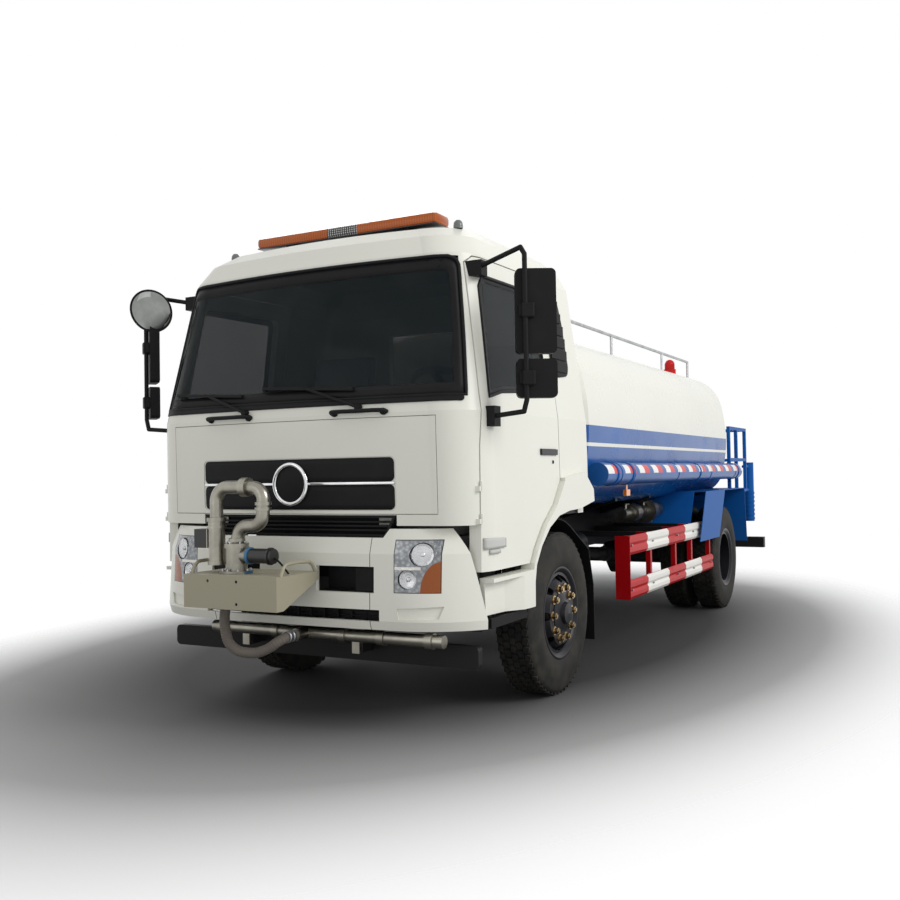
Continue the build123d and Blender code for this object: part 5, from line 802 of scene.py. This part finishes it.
def studs_on(name, spots, radius, body, slot, finish):
    """Bolts or nuts of one size at (place, facing) pairs."""
    mesh = bpy.data.meshes.new(name)
    mesh.from_pydata([tuple(place) for place, _ in spots], [], [])
    facing = mesh.attributes.new("facing", "FLOAT_VECTOR", "POINT")
    for item, (_, direction) in zip(facing.data, spots):
        item.vector = direction
    shape = bmesh.new()
    shape.from_mesh(grown(stud, {"Radius": radius, "Finish": finish}, mesh))
    piece_of(name, shape, body, slot, finish)


def slats_at(name, places, size, body, slot, finish):
    """Like slats at places."""
    mesh = bpy.data.meshes.new(name)
    mesh.from_pydata([tuple(place) for place in places], [], [])
    shape = bmesh.new()
    shape.from_mesh(grown(slat, {"Size": size, "Finish": finish}, mesh))
    piece_of(name, shape, body, slot, finish)


def tube_along(name, points, radius, body, slot, finish, closed=False, curved=False, **sizes):
    """A round bead, rail or hose that follows points, straight between them or curved through them."""
    curve = bpy.data.curves.new(name, "CURVE")
    curve.dimensions = "3D"
    spline = curve.splines.new("BEZIER" if curved else "POLY")
    held = spline.bezier_points if curved else spline.points
    held.add(len(points) - 1)
    for point, spot in zip(held, points):
        point.co = tuple(spot) if curved else (*spot, 1)
        if curved:
            point.handle_left_type = point.handle_right_type = "AUTO"
    spline.use_cyclic_u = closed
    shape = bmesh.new()
    shape.from_mesh(grown(tube, {"Radius": radius, "Finish": finish, **sizes}, curve))
    bmesh.ops.recalc_face_normals(shape, faces=shape.faces)
    made = piece_of(name, shape, body, slot, finish)
    for face in made.data.polygons:
        face.use_smooth = True
    sharpen(made, 50.0)
    return made


def joined(shape, part, finish=0):
    """Adds a part's faces to a shape, with one of the shape's finishes."""
    for face in part.faces:
        face.material_index = finish
    held = bpy.data.meshes.new("held")
    part.to_mesh(held)
    part.free()
    shape.from_mesh(held)
    bpy.data.meshes.remove(held)


def bevelled_block(shape, low, high, edge, turn=None):
    """Adds a block with rounded edges between two corners, turned about its middle where a turn is given."""
    part = bmesh.new()
    low, high = Vector(low), Vector(high)
    middle = (low + high) / 2
    bmesh.ops.create_cube(part, size=1.0, matrix=Matrix.Diagonal((*(high - low), 1)))
    bmesh.ops.bevel(part, geom=part.edges[:], offset=edge, segments=2, affect="EDGES", profile=0.5)
    if turn:
        bmesh.ops.transform(part, matrix=turn, verts=part.verts)
    bmesh.ops.translate(part, vec=middle, verts=part.verts)
    joined(shape, part)


def turned_at(shape, profile, spot, facing, steps=32, finish=0, smooth=True):
    """Adds a form turned from (radius, along) points, with its axis along a direction from a spot."""
    part = bmesh.new()
    turned(part, profile, (0, 0, 0), axis="Z", steps=steps, smooth=smooth)
    turn = Vector((0, 0, 1)).rotation_difference(Vector(facing)).to_matrix().to_4x4()
    bmesh.ops.transform(part, matrix=Matrix.Translation(spot) @ turn, verts=part.verts)
    joined(shape, part, finish)


def ring_of(centre, radius, count, across, upward):
    """Places round a circle, from two directions that lie in its plane."""
    across, upward = Vector(across), Vector(upward)
    angles = [2 * math.pi * number / count for number in range(count)]
    return [Vector(centre) + (across * math.cos(a) + upward * math.sin(a)) * radius for a in angles]


# Wheel nuts

for side, word in SIDES:
    for body, x, disc_y in ((f"wheel_front_{word}", FRONT_AXLE_X, FRONT_DISC_Y),
                            (f"wheels_rear_{word}", REAR_AXLE_X, REAR_DISC_Y)):
        places = ring_of((x, side * disc_y, TYRE_RADIUS), NUT_CIRCLE, 10, (1, 0, 0), (0, 0, 1))
        studs_on(f"nuts_{body}", [(place, (0, side, 0)) for place in places], NUT_RADIUS, body,
                 "wheel_paint", bronze)

# Cab front

lid_skin = surface_of("front_lid")
glass_skin = surface_of("cab_glass")
cab_skin = surface_of("cab_shell")
bumper_skin = surface_of("bumper")


def sheet_of(rows, tree, direction, lift):
    """A sheet whose points are rows of spots cast onto a surface, facing back along the rays."""
    shape = bmesh.new()
    hits = [[laid(tree, spot, direction, lift) for spot in row] for row in rows]
    grid = [[shape.verts.new(hit) for hit in row] for row in hits if None not in row]
    for here, there in zip(grid, grid[1:]):
        for i in range(len(here) - 1):
            shape.faces.new((here[i], here[i + 1], there[i + 1], there[i])).smooth = True
    face_back(shape, direction)
    return shape


def face_back(shape, direction):
    """Turns a sheet's faces so that they look back along a direction."""
    for face in shape.faces:
        face.normal_update()
        if face.normal.dot(Vector(direction)) > 0:
            face.normal_flip()


def walled(made, depth):
    """Gives a sheet a wall, outwards from the surface that it lies on."""
    wall = made.modifiers.new("wall", "SOLIDIFY")
    wall.thickness = depth
    wall.offset = 1.0


def front_panel(name, half_width, low, high, corner, tree, depth, slot, finish):
    """A level panel with rounded ends, laid on the front of the cab."""
    rows = []
    ends = [corner * (1 - math.cos(math.pi / 2 * i / 6)) - half_width for i in range(6)]
    inner_half = half_width - corner
    for y in ends + [inner_half * (i / 18 - 1) for i in range(37)] + [-y for y in reversed(ends)]:
        inward = max(0.0, corner - (half_width - abs(y)))
        cut = corner - math.sqrt(max(0.0, corner ** 2 - inward ** 2))
        rows.append([(AHEAD_X, y, low + cut + (high - low - 2 * cut) * i / 4) for i in range(5)])
    walled(piece_of(name, sheet_of(rows, tree, (-1, 0, 0), 0.0005), "body", slot, finish), depth)


# columns: name, half width, lowest and highest height, corner radius, surface, depth, slot, finish
PANELS = (
    ("lid_panel_upper", 0.688, 1.413, 1.550, 0.030, lid_skin, 0.004, "black_plastic", black_plastic),
    ("lid_panel_lower", 0.688, 1.254, 1.397, 0.030, lid_skin, 0.004, "black_plastic", black_plastic),
    ("lid_chrome_strip", 0.690, 1.398, 1.412, 0.006, lid_skin, 0.009, "bright_steel", chrome),
    ("cowl_seal", 1.085, 1.852, 1.8825, 0.012, cab_skin, 0.006, "black_plastic", seal_rubber),
)
for panel in PANELS:
    front_panel(*panel)

badge = bmesh.new()
badge_spot = on_front(lid_skin, 0, 1.405, 0)
rim = [(0.116 + 0.013 * math.cos(a), 0.016 + 0.013 * math.sin(a)) for a in
       [2 * math.pi * i / 12 for i in range(12)]]
turned_at(badge, rim, badge_spot, (1, 0, 0), steps=64)
turned_at(badge, [(0.104, 0.004), (0.106, 0.012), (0.070, 0.018), (0.030, 0.021), (0.0, 0.022), (0.0, 0.004)],
          badge_spot, (1, 0, 0), steps=64, finish=1)
sharpen(piece_of("lid_badge", badge, "body", "bright_steel", chrome, black_plastic))


def paired(outer, inner, step):
    """Points along two like outlines, as many on each, no further apart than a step."""
    pairs = []
    for i in range(len(outer)):
        j = (i + 1) % len(outer)
        count = max(2, math.ceil(math.dist(outer[i], outer[j]) / step))
        for k in range(count):
            share = k / count
            pairs.append([tuple(a + (b - a) * share for a, b in zip(line[i], line[j]))
                          for line in (outer, inner)])
    return pairs


def window_edge(word, pairs, spot_of, tree, direction, body):
    """The black border printed on a pane, and the rubber seal round it."""
    border = bmesh.new()
    grid = []
    for outer, inner in pairs:
        row = [laid(tree, spot_of(*(a + (b - a) * share for a, b in zip(outer, inner))), direction, 0.0006)
               for share in (0.0, 0.5, 1.0)]
        if None not in row:
            grid.append([border.verts.new(spot) for spot in row])
    for here, there in zip(grid, grid[1:] + grid[:1]):
        for i in range(2):
            border.faces.new((here[i], here[i + 1], there[i + 1], there[i])).smooth = True
    face_back(border, direction)
    walled(piece_of(f"{word}_border", border, body, "black_plastic", seal_rubber), 0.001)
    line = [laid(tree, spot_of(*outer), direction, 0.003) for outer, _ in pairs]
    tube_along(f"{word}_seal", [spot for spot in line if spot], 0.010, body, "black_plastic", seal_rubber,
               closed=True, Step=0.03, Sides=8)


# half of the windscreen's outline, and of the clear part's, as (y, z) from the bottom up
SCREEN = ((1.090, 1.887), (1.052, 2.180), (1.031, 2.328), (0.985, 2.640), (0.968, 2.680), (0.930, 2.696))
SCREEN_INNER = ((1.030, 1.955), (1.004, 2.180), (0.985, 2.328), (0.944, 2.585), (0.930, 2.605),
                (0.900, 2.612))
outer = [*SCREEN, *((-y, z) for y, z in reversed(SCREEN))]
inner = [*SCREEN_INNER, *((-y, z) for y, z in reversed(SCREEN_INNER))]
window_edge("windscreen", paired(outer, inner, 0.04), lambda y, z: (AHEAD_X, y, z), glass_skin, (-1, 0, 0),
            "body")

# Grab handles below the windscreen, each with a round foot at both ends
COWL_HANDLE_Z = 1.806
for word, start_y, end_y in (("right", -0.635, -0.290), ("left", 0.300, 0.655)):
    route = []
    for share, out in ((0.0, 0.002), (0.03, 0.030), (0.08, 0.037), (0.5, 0.039), (0.92, 0.037), (0.97, 0.030),
                       (1.0, 0.002)):
        route.append(on_front(cab_skin, start_y + (end_y - start_y) * share, COWL_HANDLE_Z, out))
    tube_along(f"cowl_handle_{word}", route, 0.0125, "body", "black_plastic", black_plastic, curved=True,
               Step=0.008)
    feet = bmesh.new()
    for y in (start_y + 0.018, end_y - 0.018):
        turned_at(feet, [(0.0, 0.0), (0.020, 0.0), (0.020, 0.014), (0.014, 0.020), (0.0, 0.021)],
                  on_front(cab_skin, y, COWL_HANDLE_Z), (1, 0, 0.15), steps=24)
    piece_of(f"cowl_handle_feet_{word}", feet, "body", "black_plastic", black_plastic)

# Cab sides

# the door window's outline and the clear part's, as (distance ahead of the front axle, z)
WINDOW = ((1.079, 1.880), (1.006, 2.527), (0.990, 2.570), (0.958, 2.595), (0.234, 2.605), (0.205, 2.578),
          (0.205, 1.992), (0.243, 1.965), (0.900, 1.920))
WINDOW_INNER = ((1.040, 1.922), (0.972, 2.515), (0.962, 2.548), (0.940, 2.560), (0.250, 2.570),
                (0.240, 2.560), (0.240, 2.010), (0.262, 1.998), (0.890, 1.953))
# the louvred panel behind the door's window: its rear edge, as (x, z) from the top down
VENT_REAR = ((2.400, 2.672), (2.320, 2.660), (2.262, 2.600), (2.232, 2.450), (2.226, 2.160), (2.250, 2.110),
             (2.300, 2.085), (2.400, 2.078))
VENT_FRONT = 2.522


def between(table, level):
    """The first column of a table, worked out at a level of its second, which falls from row to row."""
    for (high_x, high_z), (low_x, low_z) in zip(table, table[1:]):
        if high_z >= level >= low_z:
            return high_x + (low_x - high_x) * (high_z - level) / (high_z - low_z)
    return table[-1][0]


for side, word in SIDES:
    door, inwards = f"door_{word}", (0, -side, 0)
    pane = surface_of(f"door_glass_{word}")
    window_edge(f"door_window_{word}", paired(WINDOW, WINDOW_INNER, 0.04),
                lambda x, z: (FRONT_AXLE_X + x, side * BESIDE_Y, z), pane, inwards, door)
    levels = [VENT_REAR[-1][1] + (VENT_REAR[0][1] - VENT_REAR[-1][1]) * i / 40 for i in range(41)]
    rows = []
    for z in levels:
        rear = between(VENT_REAR, z)
        rows.append([(rear + (VENT_FRONT - rear) * i / 6, side * BESIDE_Y, z) for i in range(7)])
    walled(piece_of(f"cab_vent_{word}", sheet_of(rows, cab_skin, inwards, 0.0008), "body", "black_plastic",
                    black_plastic), 0.006)
    louvres = bmesh.new()
    for z in [2.115 + 0.085 * number for number in range(6)]:
        rear = max(between(VENT_REAR, z), between(VENT_REAR, z + 0.07)) + 0.018
        middle = (rear + VENT_FRONT) / 2
        low, high = (on_side(cab_skin, side, middle, level, 0.009) for level in (z, z + 0.07))
        lean = math.atan2(low.y - high.y, 0.075)
        bevelled_block(louvres, (rear, low.y - 0.004, z), (VENT_FRONT - 0.01, low.y + 0.004, z + 0.066),
                       0.002, turn=Matrix.Rotation(lean - side * 0.10, 4, "X"))
    piece_of(f"cab_vent_louvres_{word}", louvres, "body", "black_plastic", black_plastic)
    # side lamps low on the door: the marker in its pale frame, and the repeater below it
    door_skin = surface_of(door)
    beside = side * BESIDE_Y
    marker = [[(3.405 + 0.0225 * i, beside, 1.030 + (0.052 + 0.001 * i) * j / 4) for i in range(11)]
              for j in range(5)]
    repeater = [[(3.475 + 0.115 * i / 6, beside, 1.000 + 0.012 * j) for i in range(7)] for j in range(3)]
    for name, rows, depth in (("side_marker", marker, 0.012), ("side_repeater", repeater, 0.010)):
        sheet = sheet_of(rows, door_skin, inwards, 0.0006)
        walled(piece_of(f"{name}_{word}", sheet, door, "lamp_lens", marker_lens), depth)
    # lock below the door handle
    lock = bmesh.new()
    turned_at(lock, [(0.0, 0.0), (0.011, 0.0), (0.011, 0.004), (0.007, 0.006), (0.0, 0.006)],
              on_side(door_skin, side, 2.640, 1.515), (0, side, 0), steps=20)
    piece_of(f"door_lock_{word}", lock, door, "black_plastic", black_plastic)

# Roof lamps: the light bar's rounded lenses on its base and feet, and two domed markers

MARKER_X, MARKER_Y, MARKER_TOP_Z = 3.295, 0.856, 2.974
# the markers' dome, as (radius, share of the height)
MARKER_DOME = ((0.0, 0.0), (0.029, 0.0), (0.029, 0.35), (0.026, 0.70), (0.016, 0.93), (0.0, 1.0))
bar = bmesh.new()
bevelled_block(bar, (3.086, -0.690, 2.991), (3.274, 0.690, 3.0595), 0.022)
bevelled_block(bar, (3.088, -0.686, 2.9855), (3.272, 0.686, 2.994), 0.003)
for y in (-0.440, 0.440):
    foot_z = from_above(cab_skin, 3.18, y).z
    bevelled_block(bar, (3.122, y - 0.039, foot_z), (3.238, y + 0.039, 2.987), 0.004)
for side, _ in SIDES:
    spot = from_above(cab_skin, MARKER_X, side * MARKER_Y)
    rise = MARKER_TOP_Z - spot.z
    turned_at(bar, [(radius, rise * share) for radius, share in MARKER_DOME], spot, (0, 0, 1), steps=28)
lamps = piece_of("rounded_roof_lamps", bar, "body", "amber_lens", roof_lens)
sharpen(lamps)
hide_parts("roof_lamps")

# Mirrors: glass in the heads' rear faces, and a round mirror over the truck's right front corner

# the upright tube that both heads sit on, as (x, distance to the side)
MIRROR_TUBE = (3.578, 1.408)
# columns: height of a head's middle, glass width, glass height
MIRROR_HEADS = ((2.340, 0.203, 0.448), (1.968, 0.203, 0.193))
# columns: side, its name, how many degrees the heads turn outwards
for side, word, turn in ((1, "left", 30.0), (-1, "right", 38.0)):
    facing = Vector((math.cos(math.radians(turn)), side * math.sin(math.radians(turn)), 0))
    sideways = Vector((-facing.y, facing.x, 0)) * side
    frame_turn = Matrix((sideways, facing, (0, 0, 1))).transposed().to_4x4()
    glass, clamps = bmesh.new(), bmesh.new()
    for z, width, height in MIRROR_HEADS:
        # columns: shape, how far behind the tube and beside it, size, edge radius
        for shape, behind, beside, size, edge in (
                (glass, 0.0835, 0.062, (width, 0.003, height), 0.0012),
                (clamps, 0.004, 0.014, (0.070, 0.050, 0.080), 0.008)):
            middle = Vector((MIRROR_TUBE[0], side * MIRROR_TUBE[1], z)) - facing * behind + sideways * beside
            half = Vector(size) / 2
            bevelled_block(shape, middle - half, middle + half, edge, turn=frame_turn)
    piece_of(f"mirror_glass_{word}", glass, f"door_{word}", "bright_steel", mirror_glass)
    piece_of(f"mirror_clamps_{word}", clamps, f"door_{word}", "black_plastic", black_plastic)

round_spot = Vector((3.604, -1.330, 2.585))
round_facing = Vector((0.85, 0.35, -0.38)).normalized()
# the round mirror's case and its domed glass, as (radius, distance ahead of its middle)
MIRROR_CASE = ((0.0, -0.052), (0.060, -0.046), (0.115, -0.026), (0.143, -0.004), (0.148, 0.008),
               (0.142, 0.012), (0.134, 0.007), (0.0, 0.007))
MIRROR_DOME = ((0.0, 0.008), (0.135, 0.008), (0.133, 0.010), (0.100, 0.020), (0.050, 0.026), (0.0, 0.028))
round_mirror = bmesh.new()
turned_at(round_mirror, MIRROR_CASE, round_spot, round_facing, steps=56)
turned_at(round_mirror, MIRROR_DOME, round_spot, round_facing, steps=56, finish=1)
sharpen(piece_of("round_mirror", round_mirror, "door_right", "black_plastic", black_plastic, mirror_glass))
tube_along("round_mirror_stalk",
           [round_spot - round_facing * 0.045, (3.574, -1.372, 2.640), (3.570, -1.392, 2.672)],
           0.010, "door_right", "black_plastic", black_plastic)

# Headlamps: a facetted reflector, a bulb shade and a lens in each bowl

lamp_skin = surface_of("headlamps")
# columns: bowl's distance to the side, height, radius
BOWLS = ((0.868, 1.008, 0.066), (0.790, 0.872, 0.054))
reflectors, lenses = bmesh.new(), bmesh.new()
for side, _ in SIDES:
    for y, z, radius in BOWLS:
        floor_spot = on_front(lamp_skin, side * y, z, 0.0004)
        outward = (on_front(lamp_skin, side * y, z, 1.0004) - floor_spot).normalized()
        rim = radius * 0.93
        turned_at(reflectors, [(rim, 0.0095), (rim * 0.80, 0.0052), (rim * 0.45, 0.0018), (0.012, 0.0006),
                               (0.012, 0.0001), (rim, 0.0001)], floor_spot, outward, steps=22, smooth=False)
        turned_at(reflectors, [(0.0, 0.0), (0.013, 0.0), (0.013, 0.005), (0.008, 0.0085), (0.0, 0.0095)],
                  floor_spot, outward, steps=20)
        turned_at(lenses, [(0.0, 0.0122), (rim * 0.6, 0.0117), (rim, 0.0102), (rim, 0.0096),
                           (rim * 0.6, 0.0110), (0.0, 0.0115)], floor_spot, outward, steps=40)
piece_of("headlamp_reflectors", reflectors, "body", "bright_steel", chrome)
piece_of("headlamp_lenses", lenses, "body", "lamp_lens", lamp_glass)

# Bumper: black linings behind the tow openings, the lower slot and the grille, and bars in the slot

# the tow opening's ends and the ends of the plate that covers its outer part, along Y
TOW_Y, TOW_PLATE_Y = (0.207, 0.584), (0.452, 0.583)
linings = bmesh.new()
for side, _ in SIDES:
    low_y, high_y = sorted(side * y for y in TOW_Y)
    front = on_front(bumper_skin, side * 0.395, 0.770, 0).x
    bevelled_block(linings, (front - 0.120, low_y, 0.794), (front - 0.114, high_y, 0.936), 0.001)
    for low_z, high_z in ((0.7935, 0.7975), (0.9325, 0.9365)):
        bevelled_block(linings, (front - 0.116, low_y, low_z), (front - 0.034, high_y, high_z), 0.001)
    low_y, high_y = sorted(side * y for y in TOW_PLATE_Y)
    bevelled_block(linings, (front - 0.040, low_y, 0.798), (front - 0.030, high_y, 0.932), 0.002)
# behind the lower slot, and behind the grille
bevelled_block(linings, (3.800, -0.618, 0.634), (3.806, 0.618, 0.702), 0.001)
bevelled_block(linings, (3.735, -0.680, 1.103), (3.741, 0.680, 1.222), 0.001)
piece_of("bumper_linings", linings, "body", "black_plastic", black_plastic)
bar_ys = [-0.585 + 0.09 * number for number in range(14)]
slats_at("lower_slot_bars", [(3.835 - 0.05 * (y / 0.6) ** 2, y, 0.668) for y in bar_ys],
         (0.020, 0.007, 0.060), "body", "black_plastic", black_plastic)
slot_rails = bmesh.new()
for z in (0.655, 0.681):
    bevelled_block(slot_rails, (3.800, -0.617, z - 0.003), (3.818, 0.617, z + 0.003), 0.001)
piece_of("lower_slot_rails", slot_rails, "body", "black_plastic", black_plastic)

# Cannon tray: strap handles, bolts and the cable of the valve's motor

CANNON_AXIS = (4.130, -0.169)
# a handle's side view, as (x, z)
TRAY_HANDLE = ((4.215, 0.902), (4.188, 0.950), (4.160, 0.968), (4.060, 0.971), (3.955, 0.966), (3.925, 0.948),
               (3.895, 0.902))
MOTOR_CABLE = ((4.130, 0.092, 1.000), (4.120, 0.125, 0.975), (4.080, 0.150, 0.915), (4.020, 0.120, 0.885),
               (3.960, 0.060, 0.880))
for word, y in (("left", 0.208), ("right", -0.429)):
    route = [(x, y, z) for x, z in TRAY_HANDLE]
    tube_along(f"tray_handle_{word}", route, 0.0105, "body", "grey_paint", tray_paint, Step=0.006)
# columns: name, height, radius of the bolts' circle, how many, bolt radius, body
for name, z, circle, count, radius, body in (("cannon_flange_bolts", 0.921, 0.078, 8, 0.0075, "body"),
                                             ("swivel_bolts", 1.075, 0.055, 6, 0.0065, "cannon_loop")):
    places = ring_of((*CANNON_AXIS, z), circle, count, (1, 0, 0), (0, 1, 0))
    studs_on(name, [(place, (0, 0, 1)) for place in places], radius, body, "bright_steel", zinc)
tube_along("motor_cable", MOTOR_CABLE, 0.006, "body", "black_plastic", seal_rubber, curved=True, Step=0.006,
           Sides=8)

# Feed hose: ridged, curved from the tray down and up to the spray pipe, with a clamp at each end

HOSE_ROUTE = ((4.130, -0.250, 0.890), (4.130, -0.254, 0.740), (4.127, -0.262, 0.590), (4.108, -0.230, 0.482),
              (4.068, -0.130, 0.444), (4.044, -0.030, 0.468), (4.016, 0.040, 0.515), (3.960, 0.060, 0.532),
              (3.8903, 0.060, 0.532))
hose = tube_along("ridged_hose", HOSE_ROUTE, 0.0295, "body", "hose_rubber", hose_rubber, curved=True,
                  Step=0.003, Sides=20, Ridge=0.035, Pitch=0.014)
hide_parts("feed_hose")
clamps = bmesh.new()
band = [(0.0300, -0.012), (0.0345, -0.012), (0.0345, 0.012), (0.0300, 0.012)]
for spot, along in (((4.130, -0.253, 0.770), (0, 0, 1)), ((3.935, 0.060, 0.532), (1, 0, 0))):
    turned_at(clamps, band, spot, along, steps=32)
    turned_at(clamps, band, Vector(spot) + Vector(along) * 0.034, along, steps=32)
piece_of("hose_clamps", clamps, "body", "bright_steel", zinc)

# Grips on the steps, bolts of the side guards, bands on the hose tubes and knobs on the manhole's lid

# the first grip ahead of the step's rear end and beside the truck's middle, and the steps to the next ones
GRIP_START = (0.060, 0.930)
GRIP_PITCH = (0.055, 0.045)
step_low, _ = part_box("cab_steps")
steps_skin = surface_of("cab_steps")
for side, word in SIDES:
    grips = []
    for i in range(8):
        for j in range(5):
            x, y = step_low.x + GRIP_START[0] + GRIP_PITCH[0] * i, GRIP_START[1] + GRIP_PITCH[1] * j
            grips.append(from_above(steps_skin, x, side * y, 0.0022))
    slats_at(f"step_grips_{word}", [spot for spot in grips if spot], (0.034, 0.016, 0.004), "body",
             "black_plastic", pale_plastic)

guard_skin = surface_of("side_guards")
BOLT_XS = (1.120, 0.560, -0.190, -0.740, -1.420)
BOLT_ZS = (0.532, 0.874)
guard_bolts = []
for side, _ in SIDES:
    for x in BOLT_XS:
        for z in BOLT_ZS:
            spot = on_side(guard_skin, side, x, z, 0.0003)
            if spot:
                guard_bolts.append((spot, (0, side, 0)))
studs_on("guard_bolts", guard_bolts, 0.010, "body", "bright_steel", zinc)

BAND_XS = (1.517, 1.153, -0.922, -2.600)
inside, outside = TUBE_RADIUS + 0.0005, TUBE_RADIUS + 0.0045
band = [(inside, -0.020), (outside, -0.020), (outside, 0.020), (inside, 0.020)]
bands = bmesh.new()
for side, _ in SIDES:
    for x in BAND_XS:
        turned_at(bands, band, (x, side * TUBE_Y, TUBE_Z), (1, 0, 0), steps=40)
piece_of("hose_tube_bands", bands, "body", "blue_paint", blue_paint)

MANHOLE_MIDDLE = (0.550, 0.0, 0.0)
KNOB_CIRCLE = 0.205
manhole_skin = surface_of("manhole_lid")
knobs = []
for place in ring_of(MANHOLE_MIDDLE, KNOB_CIRCLE, 8, (1, 0, 0), (0, 1, 0)):
    spot = from_above(manhole_skin, place.x, place.y, 0.0003)
    if spot:
        knobs.append((spot, (0, 0, 1)))
studs_on("manhole_knobs", knobs, 0.012, "manhole_lid", "bright_steel", zinc)
